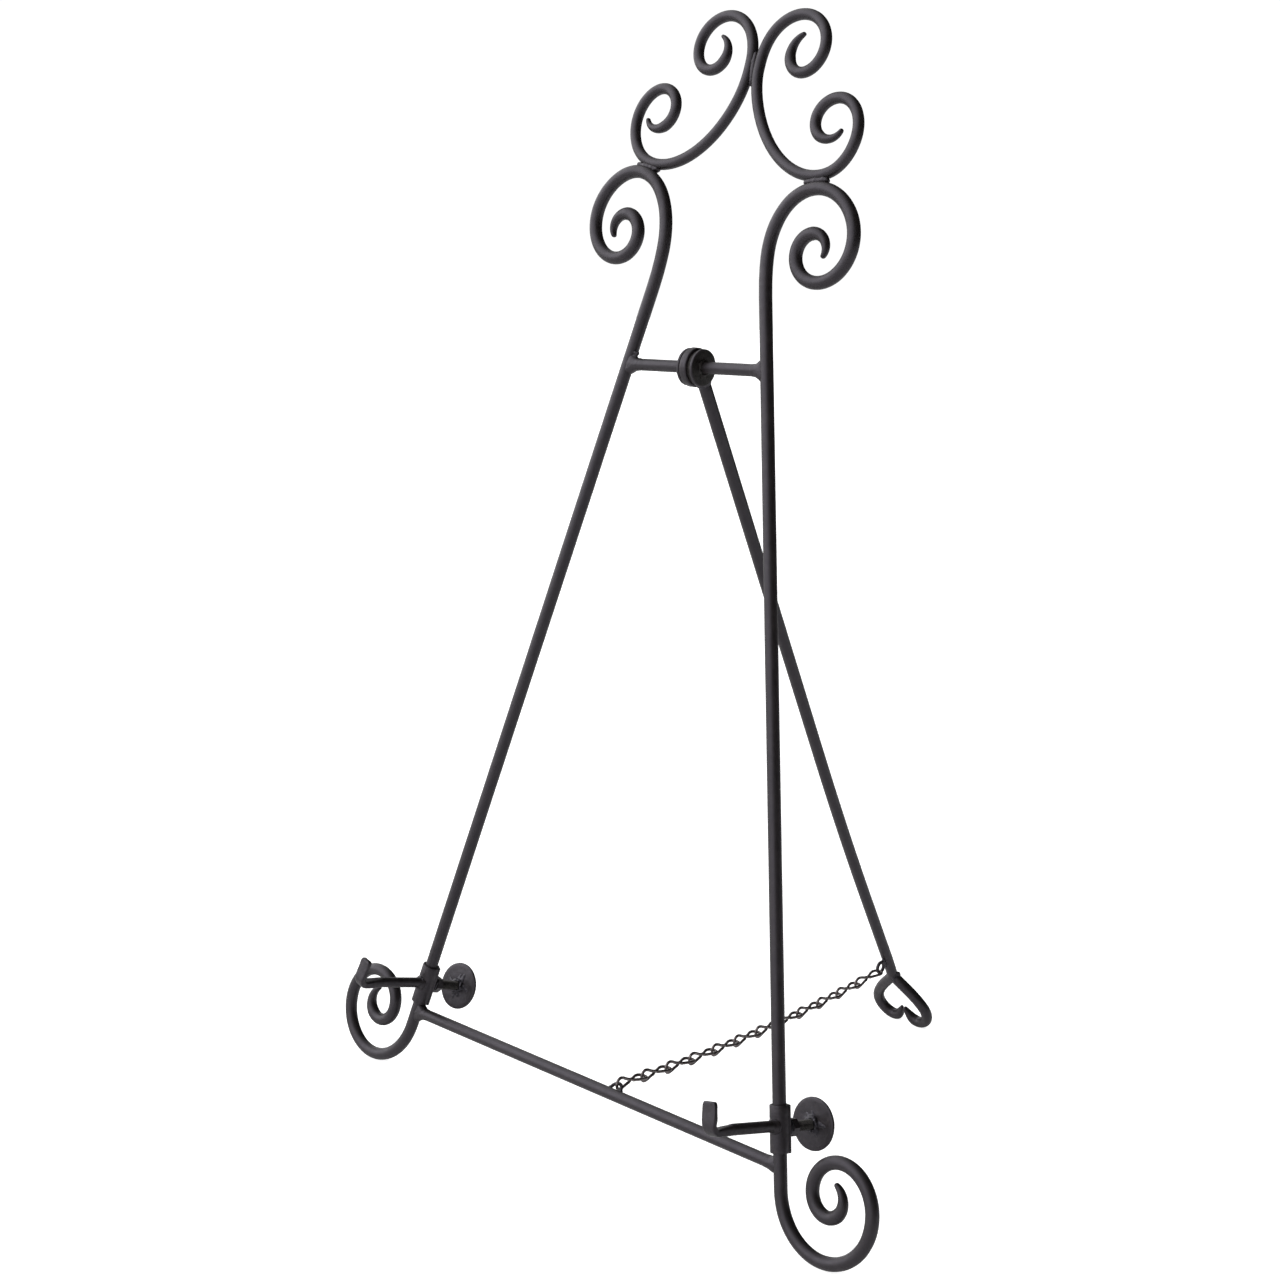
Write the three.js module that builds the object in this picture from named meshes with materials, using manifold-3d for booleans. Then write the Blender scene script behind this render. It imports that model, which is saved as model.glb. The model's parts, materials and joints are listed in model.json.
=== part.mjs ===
// Table-top display easel of bent and welded round rod.
// Millimetres, +Z up, +X to the viewer's right when the easel is seen from the front, hooks towards -Y.
// The front frame is drawn flat in its own XZ plane and then leans back; the back leg folds on the
// upper crossbar, a chain holds it open, and two hooks slide on the front legs.
import * as THREE from "three";
import { mergeVertices } from "three/addons/utils/BufferGeometryUtils.js";
import Module from "manifold-3d";

const wasm = await Module();
wasm.setup();

const DEG = Math.PI / 180;

// Round stock, as radii
const LEG_ROD = 3.25;
const BAR_ROD = 3.0;
const CREST_ROD = 2.75;
const ARM_ROD = 2.7;
const GAP = 0.3;
const ROD_SIDES = 8;
const TIP_LENGTH = 14;
const TIP_FRACTION = 0.3;

// Front frame: both legs converge upwards from the lower crossbar
const LEG_HALF_SPACING = 126.4;
const LEG_CONVERGENCE = 0.2272;
const STRAIGHT_TOP = 397.6;
const HINGE_HEIGHT = 361;

// The crossbars were welded a little out of level
const LOWER_BAR_HEIGHTS = { left: 0, right: 1.7 };
const HINGE_BAR_HEIGHTS = { left: 359, right: 363 };

// Bends made by hand, so left and right differ a little. Each has its radius at both ends of every
// stretch, and the angle turned along that stretch.
const FOOT_BENDS = {
  left: {
    straight: 7.9,
    radii: [36.5, 22.8, 24.4, 17.1, 13.2, 8.6, 8.9],
    turns: [77.2, 90, 90, 90, 90, 150],
  },
  right: {
    straight: 8.6,
    radii: [34.9, 23.1, 26, 15.4, 14.4, 7.3, 9.5],
    turns: [77.2, 90, 90, 90, 90, 153],
  },
};
const NECK_BENDS = {
  left: {
    straight: 0,
    radii: [150, 53.8, 24.1, 18.5, 27.7, 21.8, 14.3, 11.2, 8.3, 6.7],
    turns: [12.8, 45, 45, 45, 45, 90, 90, 90, 122],
  },
  right: {
    straight: 0,
    radii: [150, 42.7, 23.4, 21.8, 26.1, 21.7, 15.7, 11, 8.2, 6],
    turns: [12.8, 45, 45, 45, 45, 90, 90, 90, 121],
  },
};

// Crest: two C-shaped rods that touch at the centre line and lean back a little more than the frame
const CREST_LEAN = 7;
const CREST_LEAN_HEIGHT = 440;
const CREST_CONTACT_HEIGHT = 507.4;
const CREST_HALF_GAP = 0.25;
const CREST_UPPER_BENDS = {
  left: {
    straight: 3,
    radii: [32.9, 23, 16, 14.6, 8.4, 8.9, 9.5],
    turns: [30, 60, 90, 90, 90, 64],
  },
  right: {
    straight: 3,
    radii: [36.9, 19.4, 18.8, 14.9, 8.3, 10.6, 10.3],
    turns: [30, 60, 90, 90, 90, 62],
  },
};
const CREST_LOWER_BENDS = {
  left: {
    straight: 0,
    radii: [43.1, 57.5, 33.5, 21.2, 23.1, 10.7, 10.9, 9, 6.8],
    turns: [30, 45, 45, 45, 90, 90, 90, 83],
  },
  right: {
    straight: 0,
    radii: [18.5, 76.4, 34.2, 15.1, 23, 12.6, 9.8, 9.3, 6.6],
    turns: [30, 45, 45, 45, 90, 90, 90, 80],
  },
};

// Hinge of the back leg on the upper crossbar
const BARREL_RADIUS = 9.6;
const BARREL_WIDTH = 6;
const WASHER_RADIUS = 9.2;
const WASHER_THICKNESS = 1.6;
const SIDE_PLAY = 0.4;
const HINGE_CLEARANCE = 0.35;

// Back leg and its heart-shaped foot, measured down from the hinge axis. The leg starts a little
// behind the axis and bows forwards before it comes back in line at the chain's eye.
const OPEN_ANGLE = 38.8;
const LEG_TOP_OFFSET = 1.7;
const LEG_BOW = 2.8;
const LEG_BOW_DISTANCE = 305;
const HEART_BEND_START = 418;
const HEART_BEND_RADIUS = 8;
const HEART_SPREAD = 42;
const HEART_STRAIGHT = 9.2;
const HEART_RADII = [66, 12.8, 10.3, 3.8, 9.9];
const HEART_TURNS = [22, 60, 70, 43.5];
const HEART_TAIL = 5.1;
const HEART_TIP_LENGTH = 9;
const EYE_DISTANCE = 407;
const EYE_RADIUS = 3;
const EYE_WIRE = 1;
const EYE_STANDOFF = LEG_ROD + GAP + EYE_RADIUS + EYE_WIRE;

// Chain of figure-eight wire links from a staple on the lower crossbar to the leg eye
const CHAIN_LINKS = 12;
const CHAIN_WIRE = 0.8;
const CHAIN_PLAY = 0.4;
const CHAIN_SAG = 4.8;
const LOBE_HALF_LENGTH = 5.2;
const LOBE_HALF_WIDTH = 2.7;
const STAPLE_OFFSET = 19;
const STAPLE_WIRE = 0.9;
const STAPLE_RADIUS = 3.2;

// Hooks: height of the sleeve on the leg, swivel of the whole hook about the leg, splay and rise of
// the arm on the sleeve, droop of the screw towards the back, how far out its disc stands, and the
// width of the lip
const HOOKS = {
  left: { height: 16.4, swivel: 0, splay: 2.6, rise: 0.5, droop: 9, disc: 25.5, lip: 6.8 },
  right: { height: 18.6, swivel: 3.9, splay: 0, rise: 1.2, droop: 2.5, disc: 23, lip: 8.4 },
};
const SLEEVE_RADIUS = 4.65;
const SLEEVE_BORE = 3.55;
const SLEEVE_LENGTH = 22;
const ARM_REACH = 49;
const ARM_SLOPE = 4.5;
const STRIP_START = 33;
const STRIP_THICKNESS = 2.4;
const STRIP_BEND = 3;
const LIP_HEIGHT = 13.2;
const NUT_FACE = 5.7;
const NUT_THICKNESS = 4;
const NUT_FLATS = 8;
const SCREW_RADIUS = 2.5;
const SCREW_HOLE = 2.7;
const DISC_RADIUS = 12.6;
const DISC_THICKNESS = 2;

const blackCoat = { color: 0x1b1c20, roughness: 0.45, metalness: 0.35 };
const blackSteel = { color: 0x202126, roughness: 0.5, metalness: 0.45 };
const weldCoat = { color: 0x191a1d, roughness: 0.6, metalness: 0.3 };
const chainWire = { color: 0x4a433d, roughness: 0.35, metalness: 0.8 };

// A path given by its stations, so that a swept rod gets short steps in its bends and long ones elsewhere
class StationPath extends THREE.Curve {
  constructor(stations) {
    super();
    this.stations = stations;
  }
  getPoint(t, target = new THREE.Vector3()) {
    const at = t * (this.stations.length - 1);
    const low = Math.min(Math.floor(at + 1e-9), this.stations.length - 2);
    return target.lerpVectors(this.stations[low], this.stations[low + 1], at - low);
  }
  getPointAt(u, target) {
    return this.getPoint(u, target);
  }
  getTangentAt(u, target = new THREE.Vector3()) {
    const last = this.stations.length - 1;
    const here = Math.round(u * last);
    const before = this.stations[Math.max(here - 1, 0)];
    const here3 = this.stations[here];
    const after = this.stations[Math.min(here + 1, last)];
    const into = here3.clone().sub(before).normalize();
    const out = after.clone().sub(here3).normalize();
    return target.copy(into.add(out)).normalize();
  }
}

// The stations of a rod bent in one plane: a straight run, then bends whose radius changes evenly.
// side is +1 for bends to the left and -1 for bends to the right.
function followBends(start, headingDegrees, { straight, radii, turns }, side) {
  const points = [start.clone()];
  let heading = headingDegrees * DEG;
  let here = start.clone();
  if (straight > 0) {
    here = here.clone();
    here.x += straight * Math.cos(heading);
    here.y += straight * Math.sin(heading);
    points.push(here);
  }
  turns.forEach((turn, k) => {
    const steps = Math.ceil(turn / 18);
    const fine = 6;
    for (let i = 0; i < steps * fine; i++) {
      const radius = radii[k] + ((radii[k + 1] - radii[k]) * (i + 0.5)) / (steps * fine);
      const part = (turn * DEG) / (steps * fine);
      here = here.clone();
      here.x += radius * part * Math.cos(heading + (side * part) / 2);
      here.y += radius * part * Math.sin(heading + (side * part) / 2);
      heading += side * part;
      if (i % fine === fine - 1) points.push(here);
    }
  });
  return points;
}

// Draws the ends of a swept rod down to a forged point over TIP_LENGTH
function forgeTips(geometry, stations, atStart, atEnd, tipLength) {
  const along = [0];
  for (let i = 1; i < stations.length; i++) {
    along.push(along[i - 1] + stations[i].distanceTo(stations[i - 1]));
  }
  const total = along[along.length - 1];
  const scaleAt = along.map((s) => {
    let scale = 1;
    if (atStart) scale = Math.min(scale, TIP_FRACTION + ((1 - TIP_FRACTION) * s) / tipLength);
    if (atEnd) scale = Math.min(scale, TIP_FRACTION + ((1 - TIP_FRACTION) * (total - s)) / tipLength);
    return scale;
  });
  const position = geometry.attributes.position;
  const vertex = new THREE.Vector3();
  for (let i = 0; i < position.count; i++) {
    vertex.fromBufferAttribute(position, i);
    let nearest = 0;
    stations.forEach((s, k) => {
      if (vertex.distanceToSquared(s) < vertex.distanceToSquared(stations[nearest]) - 1e-9) nearest = k;
    });
    vertex.sub(stations[nearest]).multiplyScalar(scaleAt[nearest]).add(stations[nearest]);
    position.setXYZ(i, vertex.x, vertex.y, vertex.z);
  }
  return geometry;
}

function sweptRod(stations, radius, tips = {}) {
  const section = new THREE.Shape();
  section.absarc(0, 0, radius, 0, 2 * Math.PI, false);
  const geometry = new THREE.ExtrudeGeometry(section, {
    steps: stations.length - 1,
    curveSegments: (tips.sides ?? ROD_SIDES) / 2,
    extrudePath: new StationPath(stations),
  });
  if (tips.start || tips.end) {
    forgeTips(geometry, stations, tips.start, tips.end, tips.length ?? TIP_LENGTH);
  }
  return geometry;
}

function rodBetween(from, to, radius, sides = 12, endRadius = radius) {
  const axis = to.clone().sub(from);
  const geometry = new THREE.CylinderGeometry(endRadius, radius, axis.length(), sides);
  const turn = new THREE.Quaternion().setFromUnitVectors(
    new THREE.Vector3(0, 1, 0),
    axis.clone().normalize(),
  );
  geometry.applyQuaternion(turn);
  const middle = from.clone().add(to).multiplyScalar(0.5);
  return geometry.translate(middle.x, middle.y, middle.z);
}

// A turned ring about the Y axis, from its section given as [radius, height] pairs running up the outside
function turnedRing(section, sides) {
  const profile = section.map(([r, h]) => new THREE.Vector2(r, h));
  profile.push(profile[0].clone());
  return new THREE.LatheGeometry(profile, sides);
}

function toSolid(geometry) {
  const bare = geometry.clone();
  bare.deleteAttribute("normal");
  bare.deleteAttribute("uv");
  const merged = mergeVertices(bare, 1e-4);
  return new wasm.Manifold(
    new wasm.Mesh({
      numProp: 3,
      vertProperties: merged.attributes.position.array,
      triVerts: new Uint32Array(merged.index.array),
    }),
  );
}

function toGeometry(solid) {
  const mesh = solid.getMesh();
  const geometry = new THREE.BufferGeometry();
  geometry.setAttribute("position", new THREE.BufferAttribute(mesh.vertProperties, 3));
  geometry.setIndex(new THREE.BufferAttribute(mesh.triVerts, 1));
  geometry.computeVertexNormals();
  return geometry;
}

// A geometry less each of the cutters
function cut(geometry, ...cutters) {
  let solid = toSolid(geometry);
  cutters.forEach((cutter) => {
    solid = solid.subtract(toSolid(cutter));
  });
  return toGeometry(solid);
}

function joined(...pieces) {
  let solid = toSolid(pieces[0]);
  pieces.slice(1).forEach((piece) => {
    solid = solid.add(toSolid(piece));
  });
  return toGeometry(solid);
}

function addMesh(group, name, geometry, look) {
  const mesh = new THREE.Mesh(geometry, new THREE.MeshStandardMaterial(look));
  mesh.name = name;
  group.add(mesh);
  return mesh;
}

const easel = new THREE.Group();
easel.name = "easel";
const frame = new THREE.Group();
frame.name = "frame";
easel.add(frame);

// ---------- Front legs, each one rod from foot scroll to upper scroll ----------
const legAt = (height) => LEG_HALF_SPACING - LEG_CONVERGENCE * height;
const legAngle = Math.atan(LEG_CONVERGENCE) / DEG;
const SIDES = { left: -1, right: 1 };
const bothTips = { start: true, end: true };
const onSide = (points, sign) => points.map((p) => new THREE.Vector3(sign * p.x, 0, p.y));
const legPaths = {};
for (const [side, sign] of Object.entries(SIDES)) {
  const footStart = new THREE.Vector2(legAt(0), 0);
  const foot = followBends(footStart, -90 + legAngle, FOOT_BENDS[side], 1);
  const neckStart = new THREE.Vector2(legAt(STRAIGHT_TOP), STRAIGHT_TOP);
  const neck = followBends(neckStart, 90 + legAngle, NECK_BENDS[side], -1);
  legPaths[side] = onSide([...foot.slice(1).reverse(), ...neck], sign);
  addMesh(frame, side + "_leg_rod", sweptRod(legPaths[side], LEG_ROD, bothTips), blackCoat);
}

// ---------- Crest scrolls ----------
const crestContact = new THREE.Vector2(
  CREST_ROD + CREST_HALF_GAP,
  CREST_CONTACT_HEIGHT - CREST_LEAN_HEIGHT,
);
const crestTilt = new THREE.Matrix4()
  .makeTranslation(0, 0, CREST_LEAN_HEIGHT)
  .multiply(new THREE.Matrix4().makeRotationX(-CREST_LEAN * DEG));
const crestPaths = {};
for (const [side, sign] of Object.entries(SIDES)) {
  const upper = followBends(crestContact, 90, CREST_UPPER_BENDS[side], -1);
  const lower = followBends(crestContact, -90, CREST_LOWER_BENDS[side], 1);
  crestPaths[side] = onSide([...lower.slice(1).reverse(), ...upper], sign).map((p) =>
    p.applyMatrix4(crestTilt),
  );
  addMesh(frame, side + "_crest_scroll", sweptRod(crestPaths[side], CREST_ROD, bothTips), blackCoat);
}

// The pair of stations, one on each path, that lie closest together
function closestPoints(pathA, pathB) {
  let best = { distance: Infinity };
  pathA.forEach((a, i) => {
    pathB.forEach((b, j) => {
      const distance = a.distanceTo(b);
      if (distance < best.distance) best = { distance, a, b, i, j };
    });
  });
  return best;
}

const nearPart = (path, centre, reach) => path.filter((p) => p.distanceTo(centre) < reach);

// A weld bead between two rods that pass close by each other, cut clear of both
function tangentBead(pathA, radiusA, pathB, radiusB, length) {
  const near = closestPoints(pathA, pathB);
  const across = near.b.clone().sub(near.a).normalize();
  const middle = near.a.clone().addScaledVector(across, radiusA + (near.distance - radiusA - radiusB) / 2);
  const out = new THREE.Vector3(0, 1, 0).addScaledVector(across, -across.y).normalize();
  const along = new THREE.Vector3().crossVectors(across, out);
  const bead = new THREE.SphereGeometry(1, 14, 10);
  bead.applyMatrix4(
    new THREE.Matrix4()
      .makeBasis(along.multiplyScalar(length), across.multiplyScalar(3.4), out.multiplyScalar(2.6))
      .setPosition(middle),
  );
  const cutterA = sweptRod(nearPart(pathA, middle, 22), radiusA + GAP);
  const cutterB = sweptRod(nearPart(pathB, middle, 22), radiusB + GAP);
  return cut(bead, cutterA, cutterB);
}

addMesh(
  frame,
  "crest_centre_weld",
  tangentBead(crestPaths.left, CREST_ROD, crestPaths.right, CREST_ROD, 6),
  weldCoat,
);
["left", "right"].forEach((side) => {
  const upperLeg = legPaths[side].filter((p) => p.z > CREST_LEAN_HEIGHT);
  const bead = tangentBead(upperLeg, LEG_ROD, crestPaths[side], CREST_ROD, 5);
  addMesh(frame, side + "_crest_weld", bead, weldCoat);
});

// ---------- Crossbars, coped to the legs, each with a ring of weld at both ends ----------
function legPoint(side, height) {
  return new THREE.Vector3(SIDES[side] * legAt(height), 0, height);
}

function legCutter(side, height) {
  const reach = 12;
  return rodBetween(legPoint(side, height - reach), legPoint(side, height + reach), LEG_ROD + GAP, 16);
}

function addCrossbar(name, heights) {
  const ends = { left: legPoint("left", heights.left), right: legPoint("right", heights.right) };
  const cutters = { left: legCutter("left", heights.left), right: legCutter("right", heights.right) };
  const bar = cut(rodBetween(ends.left, ends.right, BAR_ROD), cutters.left, cutters.right);
  addMesh(frame, name, bar, blackCoat);
  const alongBar = ends.right.clone().sub(ends.left).normalize();
  for (const [side, sign] of Object.entries(SIDES)) {
    const inner = ends[side].clone().addScaledVector(alongBar, -sign * 7.5);
    const outer = ends[side].clone().addScaledVector(alongBar, -sign * 1.2);
    const ring = cut(
      rodBetween(inner, outer, BAR_ROD + 0.6, 14, BAR_ROD + 1.8),
      rodBetween(ends.left, ends.right, BAR_ROD + GAP, 14),
      cutters[side],
    );
    addMesh(frame, name + "_" + side + "_weld", ring, weldCoat);
  }
}
addCrossbar("lower_crossbar", LOWER_BAR_HEIGHTS);
addCrossbar("hinge_crossbar", HINGE_BAR_HEIGHTS);

// ---------- Stop washers either side of the hinge barrel ----------
const washerPlane = BARREL_WIDTH / 2 + SIDE_PLAY + WASHER_THICKNESS / 2;
const halfWasher = WASHER_THICKNESS / 2;
for (const [side, sign] of Object.entries(SIDES)) {
  const washer = turnedRing(
    [
      [BAR_ROD + GAP, -halfWasher],
      [WASHER_RADIUS, -halfWasher],
      [WASHER_RADIUS, halfWasher],
      [BAR_ROD + GAP, halfWasher],
    ],
    28,
  );
  washer.rotateZ(-90 * DEG).translate(sign * washerPlane, 0, HINGE_HEIGHT);
  addMesh(frame, side + "_stop_washer", washer, blackSteel);
}

// ---------- Chain staple on the back of the lower crossbar ----------
const stapleOut = new THREE.Vector3(0, 1, 1).normalize();
const stapleFoot = BAR_ROD + GAP + 0.2;
const stapleShare = (STAPLE_OFFSET + LEG_HALF_SPACING) / (2 * LEG_HALF_SPACING);
const stapleHeight = THREE.MathUtils.lerp(LOWER_BAR_HEIGHTS.left, LOWER_BAR_HEIGHTS.right, stapleShare);
const staplePath = [];
for (let i = 0; i <= 8; i++) {
  const angle = (i / 8) * Math.PI;
  staplePath.push(
    new THREE.Vector3(STAPLE_OFFSET - STAPLE_RADIUS * Math.cos(angle), 0, stapleHeight).addScaledVector(
      stapleOut,
      stapleFoot + STAPLE_RADIUS * Math.sin(angle),
    ),
  );
}
addMesh(frame, "chain_staple", sweptRod(staplePath, STAPLE_WIRE, { sides: 8 }), blackSteel);
const stapleCrown = new THREE.Vector3(STAPLE_OFFSET, 0, stapleHeight).addScaledVector(
  stapleOut,
  stapleFoot + STAPLE_RADIUS,
);

// ---------- Back leg, drawn hanging straight down from the hinge and then swung open ----------
const backLeg = new THREE.Group();
backLeg.name = "back_leg";
backLeg.position.set(0, 0, HINGE_HEIGHT);
backLeg.rotation.x = OPEN_ANGLE * DEG;
frame.add(backLeg);

const halfBarrel = BARREL_WIDTH / 2;
const barrel = turnedRing(
  [
    [BAR_ROD + HINGE_CLEARANCE, -halfBarrel],
    [BARREL_RADIUS - 0.5, -halfBarrel],
    [BARREL_RADIUS, -halfBarrel + 0.5],
    [BARREL_RADIUS, halfBarrel - 0.5],
    [BARREL_RADIUS - 0.5, halfBarrel],
    [BAR_ROD + HINGE_CLEARANCE, halfBarrel],
  ],
  28,
);
barrel.rotateZ(-90 * DEG);
addMesh(backLeg, "hinge_barrel", barrel, blackSteel);
const barrelCutter = new THREE.CylinderGeometry(
  BARREL_RADIUS + GAP,
  BARREL_RADIUS + GAP,
  BARREL_WIDTH + 10,
  32,
).rotateZ(90 * DEG);

// Both lobes of the heart: a short bend outwards, a straight shoulder, and a hooked end
const inPlane = (p) => new THREE.Vector3(p.x, 0, p.y);
const bendPoints = followBends(
  new THREE.Vector2(0, -HEART_BEND_START),
  -90,
  { straight: 0, radii: [HEART_BEND_RADIUS, HEART_BEND_RADIUS], turns: [HEART_SPREAD] },
  -1,
);
const shoulderStart = bendPoints[bendPoints.length - 1];
const lobePoints = followBends(
  shoulderStart,
  -90 - HEART_SPREAD,
  { straight: HEART_STRAIGHT, radii: HEART_RADII, turns: HEART_TURNS },
  1,
);
const tailHeading = (HEART_TURNS.reduce((sum, turn) => sum + turn, 0) - 90 - HEART_SPREAD) * DEG;
const tailTip = lobePoints[lobePoints.length - 1].clone();
tailTip.x += HEART_TAIL * Math.cos(tailHeading);
tailTip.y += HEART_TAIL * Math.sin(tailHeading);
lobePoints.push(tailTip);
const legLine = [
  new THREE.Vector3(0, LEG_TOP_OFFSET, -BARREL_RADIUS + 1),
  new THREE.Vector3(0, -LEG_BOW, -LEG_BOW_DISTANCE),
  new THREE.Vector3(0, 0, -EYE_DISTANCE),
];
const leftLobePath = [...bendPoints, ...lobePoints.slice(1)].map(inPlane);
const rightLobePath = lobePoints.map((p) => new THREE.Vector3(-p.x, 0, p.y));
const lobeTip = { end: true, length: HEART_TIP_LENGTH };
const backRod = cut(sweptRod([...legLine, ...leftLobePath], LEG_ROD, lobeTip), barrelCutter);
addMesh(backLeg, "back_leg_rod", backRod, blackCoat);
const bendOnly = leftLobePath.slice(0, bendPoints.length + 3);
const leftLobeCutter = sweptRod([legLine[2], ...bendOnly], LEG_ROD + GAP, { sides: 16 });
const rightLobe = cut(sweptRod(rightLobePath, LEG_ROD, lobeTip), leftLobeCutter);
addMesh(backLeg, "heart_right_lobe", rightLobe, blackCoat);

const rightLobeCutter = sweptRod(rightLobePath.slice(0, 3), LEG_ROD + GAP, { sides: 16 });
const heartBead = new THREE.SphereGeometry(1, 14, 10);
heartBead.scale(4.6, 3.6, 5).translate(2.2, 0, shoulderStart.y + 1);
addMesh(backLeg, "heart_weld", cut(heartBead, leftLobeCutter, rightLobeCutter), weldCoat);

const collarLow = new THREE.Vector3(0, LEG_TOP_OFFSET, -BARREL_RADIUS - 5);
const collarHigh = new THREE.Vector3(0, LEG_TOP_OFFSET, -6);
const legHole = new THREE.CylinderGeometry(LEG_ROD + GAP, LEG_ROD + GAP, 40, 14);
legHole.rotateX(90 * DEG).translate(0, LEG_TOP_OFFSET, -12);
const legTopBead = cut(
  rodBetween(collarLow, collarHigh, LEG_ROD + 0.7, 14, LEG_ROD + 1.8),
  legHole,
  barrelCutter,
);
addMesh(backLeg, "barrel_weld", legTopBead, weldCoat);

const eye = new THREE.TorusGeometry(EYE_RADIUS, EYE_WIRE, 8, 18);
eye.rotateY(90 * DEG).translate(0, -EYE_STANDOFF, -EYE_DISTANCE);
addMesh(backLeg, "leg_eye", eye, blackSteel);

// ---------- Chain ----------
// A closed wire loop in the XY plane, longer along Y, with a round section all the way round
function wireLoop(halfLength, halfWidth, wire) {
  const tubeSides = 5;
  const ringSides = 12;
  const loop = new THREE.TorusGeometry(1, 1, tubeSides, ringSides);
  const position = loop.attributes.position;
  let vertex = 0;
  for (let j = 0; j <= tubeSides; j++) {
    for (let i = 0; i <= ringSides; i++) {
      const u = ((i % ringSides) / ringSides) * 2 * Math.PI;
      const v = ((j % tubeSides) / tubeSides) * 2 * Math.PI;
      const outward = new THREE.Vector2(Math.cos(u) / halfWidth, Math.sin(u) / halfLength).normalize();
      position.setXYZ(
        vertex,
        halfWidth * Math.cos(u) + wire * Math.cos(v) * outward.x,
        halfLength * Math.sin(u) + wire * Math.cos(v) * outward.y,
        wire * Math.sin(v),
      );
      vertex += 1;
    }
  }
  return loop;
}

// The last link stops just in front of the eye, where the chain's loop is left open
const eyeFront = new THREE.Vector3(
  0,
  -EYE_STANDOFF - EYE_RADIUS - EYE_WIRE - CHAIN_WIRE - CHAIN_PLAY,
  -EYE_DISTANCE,
);
backLeg.updateMatrix();
const chainEnd = eyeFront.clone().applyMatrix4(backLeg.matrix);
const span = chainEnd.clone().sub(stapleCrown);
const chainRise = Math.atan2(span.z, span.y);
const chainYaw = Math.atan2(-span.x, Math.hypot(span.y, span.z));
const sagSlope = (4 * CHAIN_SAG) / span.length();
const slopes = [];
for (let i = 0; i < CHAIN_LINKS; i++) {
  slopes.push(sagSlope * ((2 * (i + 0.5)) / CHAIN_LINKS - 1));
}
const flat = slopes.reduce((sum, slope) => sum + Math.cos(slope), 0);
const linkRun = Math.hypot(span.y, span.z) / flat;
const linkStep = Math.hypot(linkRun, span.x / CHAIN_LINKS);
const crownOffset = 2 * CHAIN_WIRE + CHAIN_PLAY;
const nearLobe = wireLoop(LOBE_HALF_LENGTH, LOBE_HALF_WIDTH, CHAIN_WIRE);
nearLobe.rotateY(90 * DEG).translate(0, LOBE_HALF_LENGTH - crownOffset, 0);
const farLobe = wireLoop(LOBE_HALF_LENGTH, LOBE_HALF_WIDTH, CHAIN_WIRE);
farLobe.translate(0, linkStep - LOBE_HALF_LENGTH, 0);
const waist = new THREE.CylinderGeometry(1.1, 1.1, 3, 6).translate(0, (linkStep - crownOffset) / 2, 0);
const linkShape = joined(nearLobe, waist, farLobe);
const pivot = stapleCrown.clone();
slopes.forEach((slope, i) => {
  const link = addMesh(frame, "chain_link_" + String(i + 1).padStart(2, "0"), linkShape, chainWire);
  link.rotation.set(chainRise + slope, 0, chainYaw);
  link.position.copy(pivot);
  pivot.x += span.x / CHAIN_LINKS;
  pivot.y += linkRun * Math.cos(chainRise + slope);
  pivot.z += linkRun * Math.sin(chainRise + slope);
});

// ---------- Hooks, each drawn about a leg's axis with +Z up the leg ----------
// The forged end of an arm: a strip whose underside runs on from the round arm and turns up as a lip
function forgedStrip(width) {
  const bottom = -ARM_ROD;
  const top = bottom + STRIP_THICKNESS;
  const bendCentre = -ARM_REACH + STRIP_THICKNESS + STRIP_BEND;
  const outline = new THREE.Shape();
  outline.moveTo(-STRIP_START, bottom);
  outline.lineTo(-STRIP_START, top);
  outline.lineTo(bendCentre, top);
  outline.absarc(bendCentre, top + STRIP_BEND, STRIP_BEND, -Math.PI / 2, -Math.PI, true);
  outline.lineTo(-ARM_REACH + STRIP_THICKNESS, LIP_HEIGHT);
  outline.lineTo(-ARM_REACH, LIP_HEIGHT);
  outline.lineTo(-ARM_REACH, top + STRIP_BEND);
  outline.absarc(
    bendCentre,
    top + STRIP_BEND,
    STRIP_BEND + STRIP_THICKNESS,
    Math.PI,
    1.5 * Math.PI,
    false,
  );
  outline.closePath();
  const strip = new THREE.ExtrudeGeometry(outline, {
    depth: width,
    bevelEnabled: false,
    curveSegments: 6,
  });
  const toArm = new THREE.Matrix4().makeBasis(
    new THREE.Vector3(0, 1, 0),
    new THREE.Vector3(0, 0, 1),
    new THREE.Vector3(1, 0, 0),
  );
  return strip.translate(0, 0, -width / 2).applyMatrix4(toArm);
}

const alongY = (radius, length, sides) => new THREE.CylinderGeometry(radius, radius, length, sides);
const alongZ = (radius, length, sides) => alongY(radius, length, sides).rotateX(90 * DEG);

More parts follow.
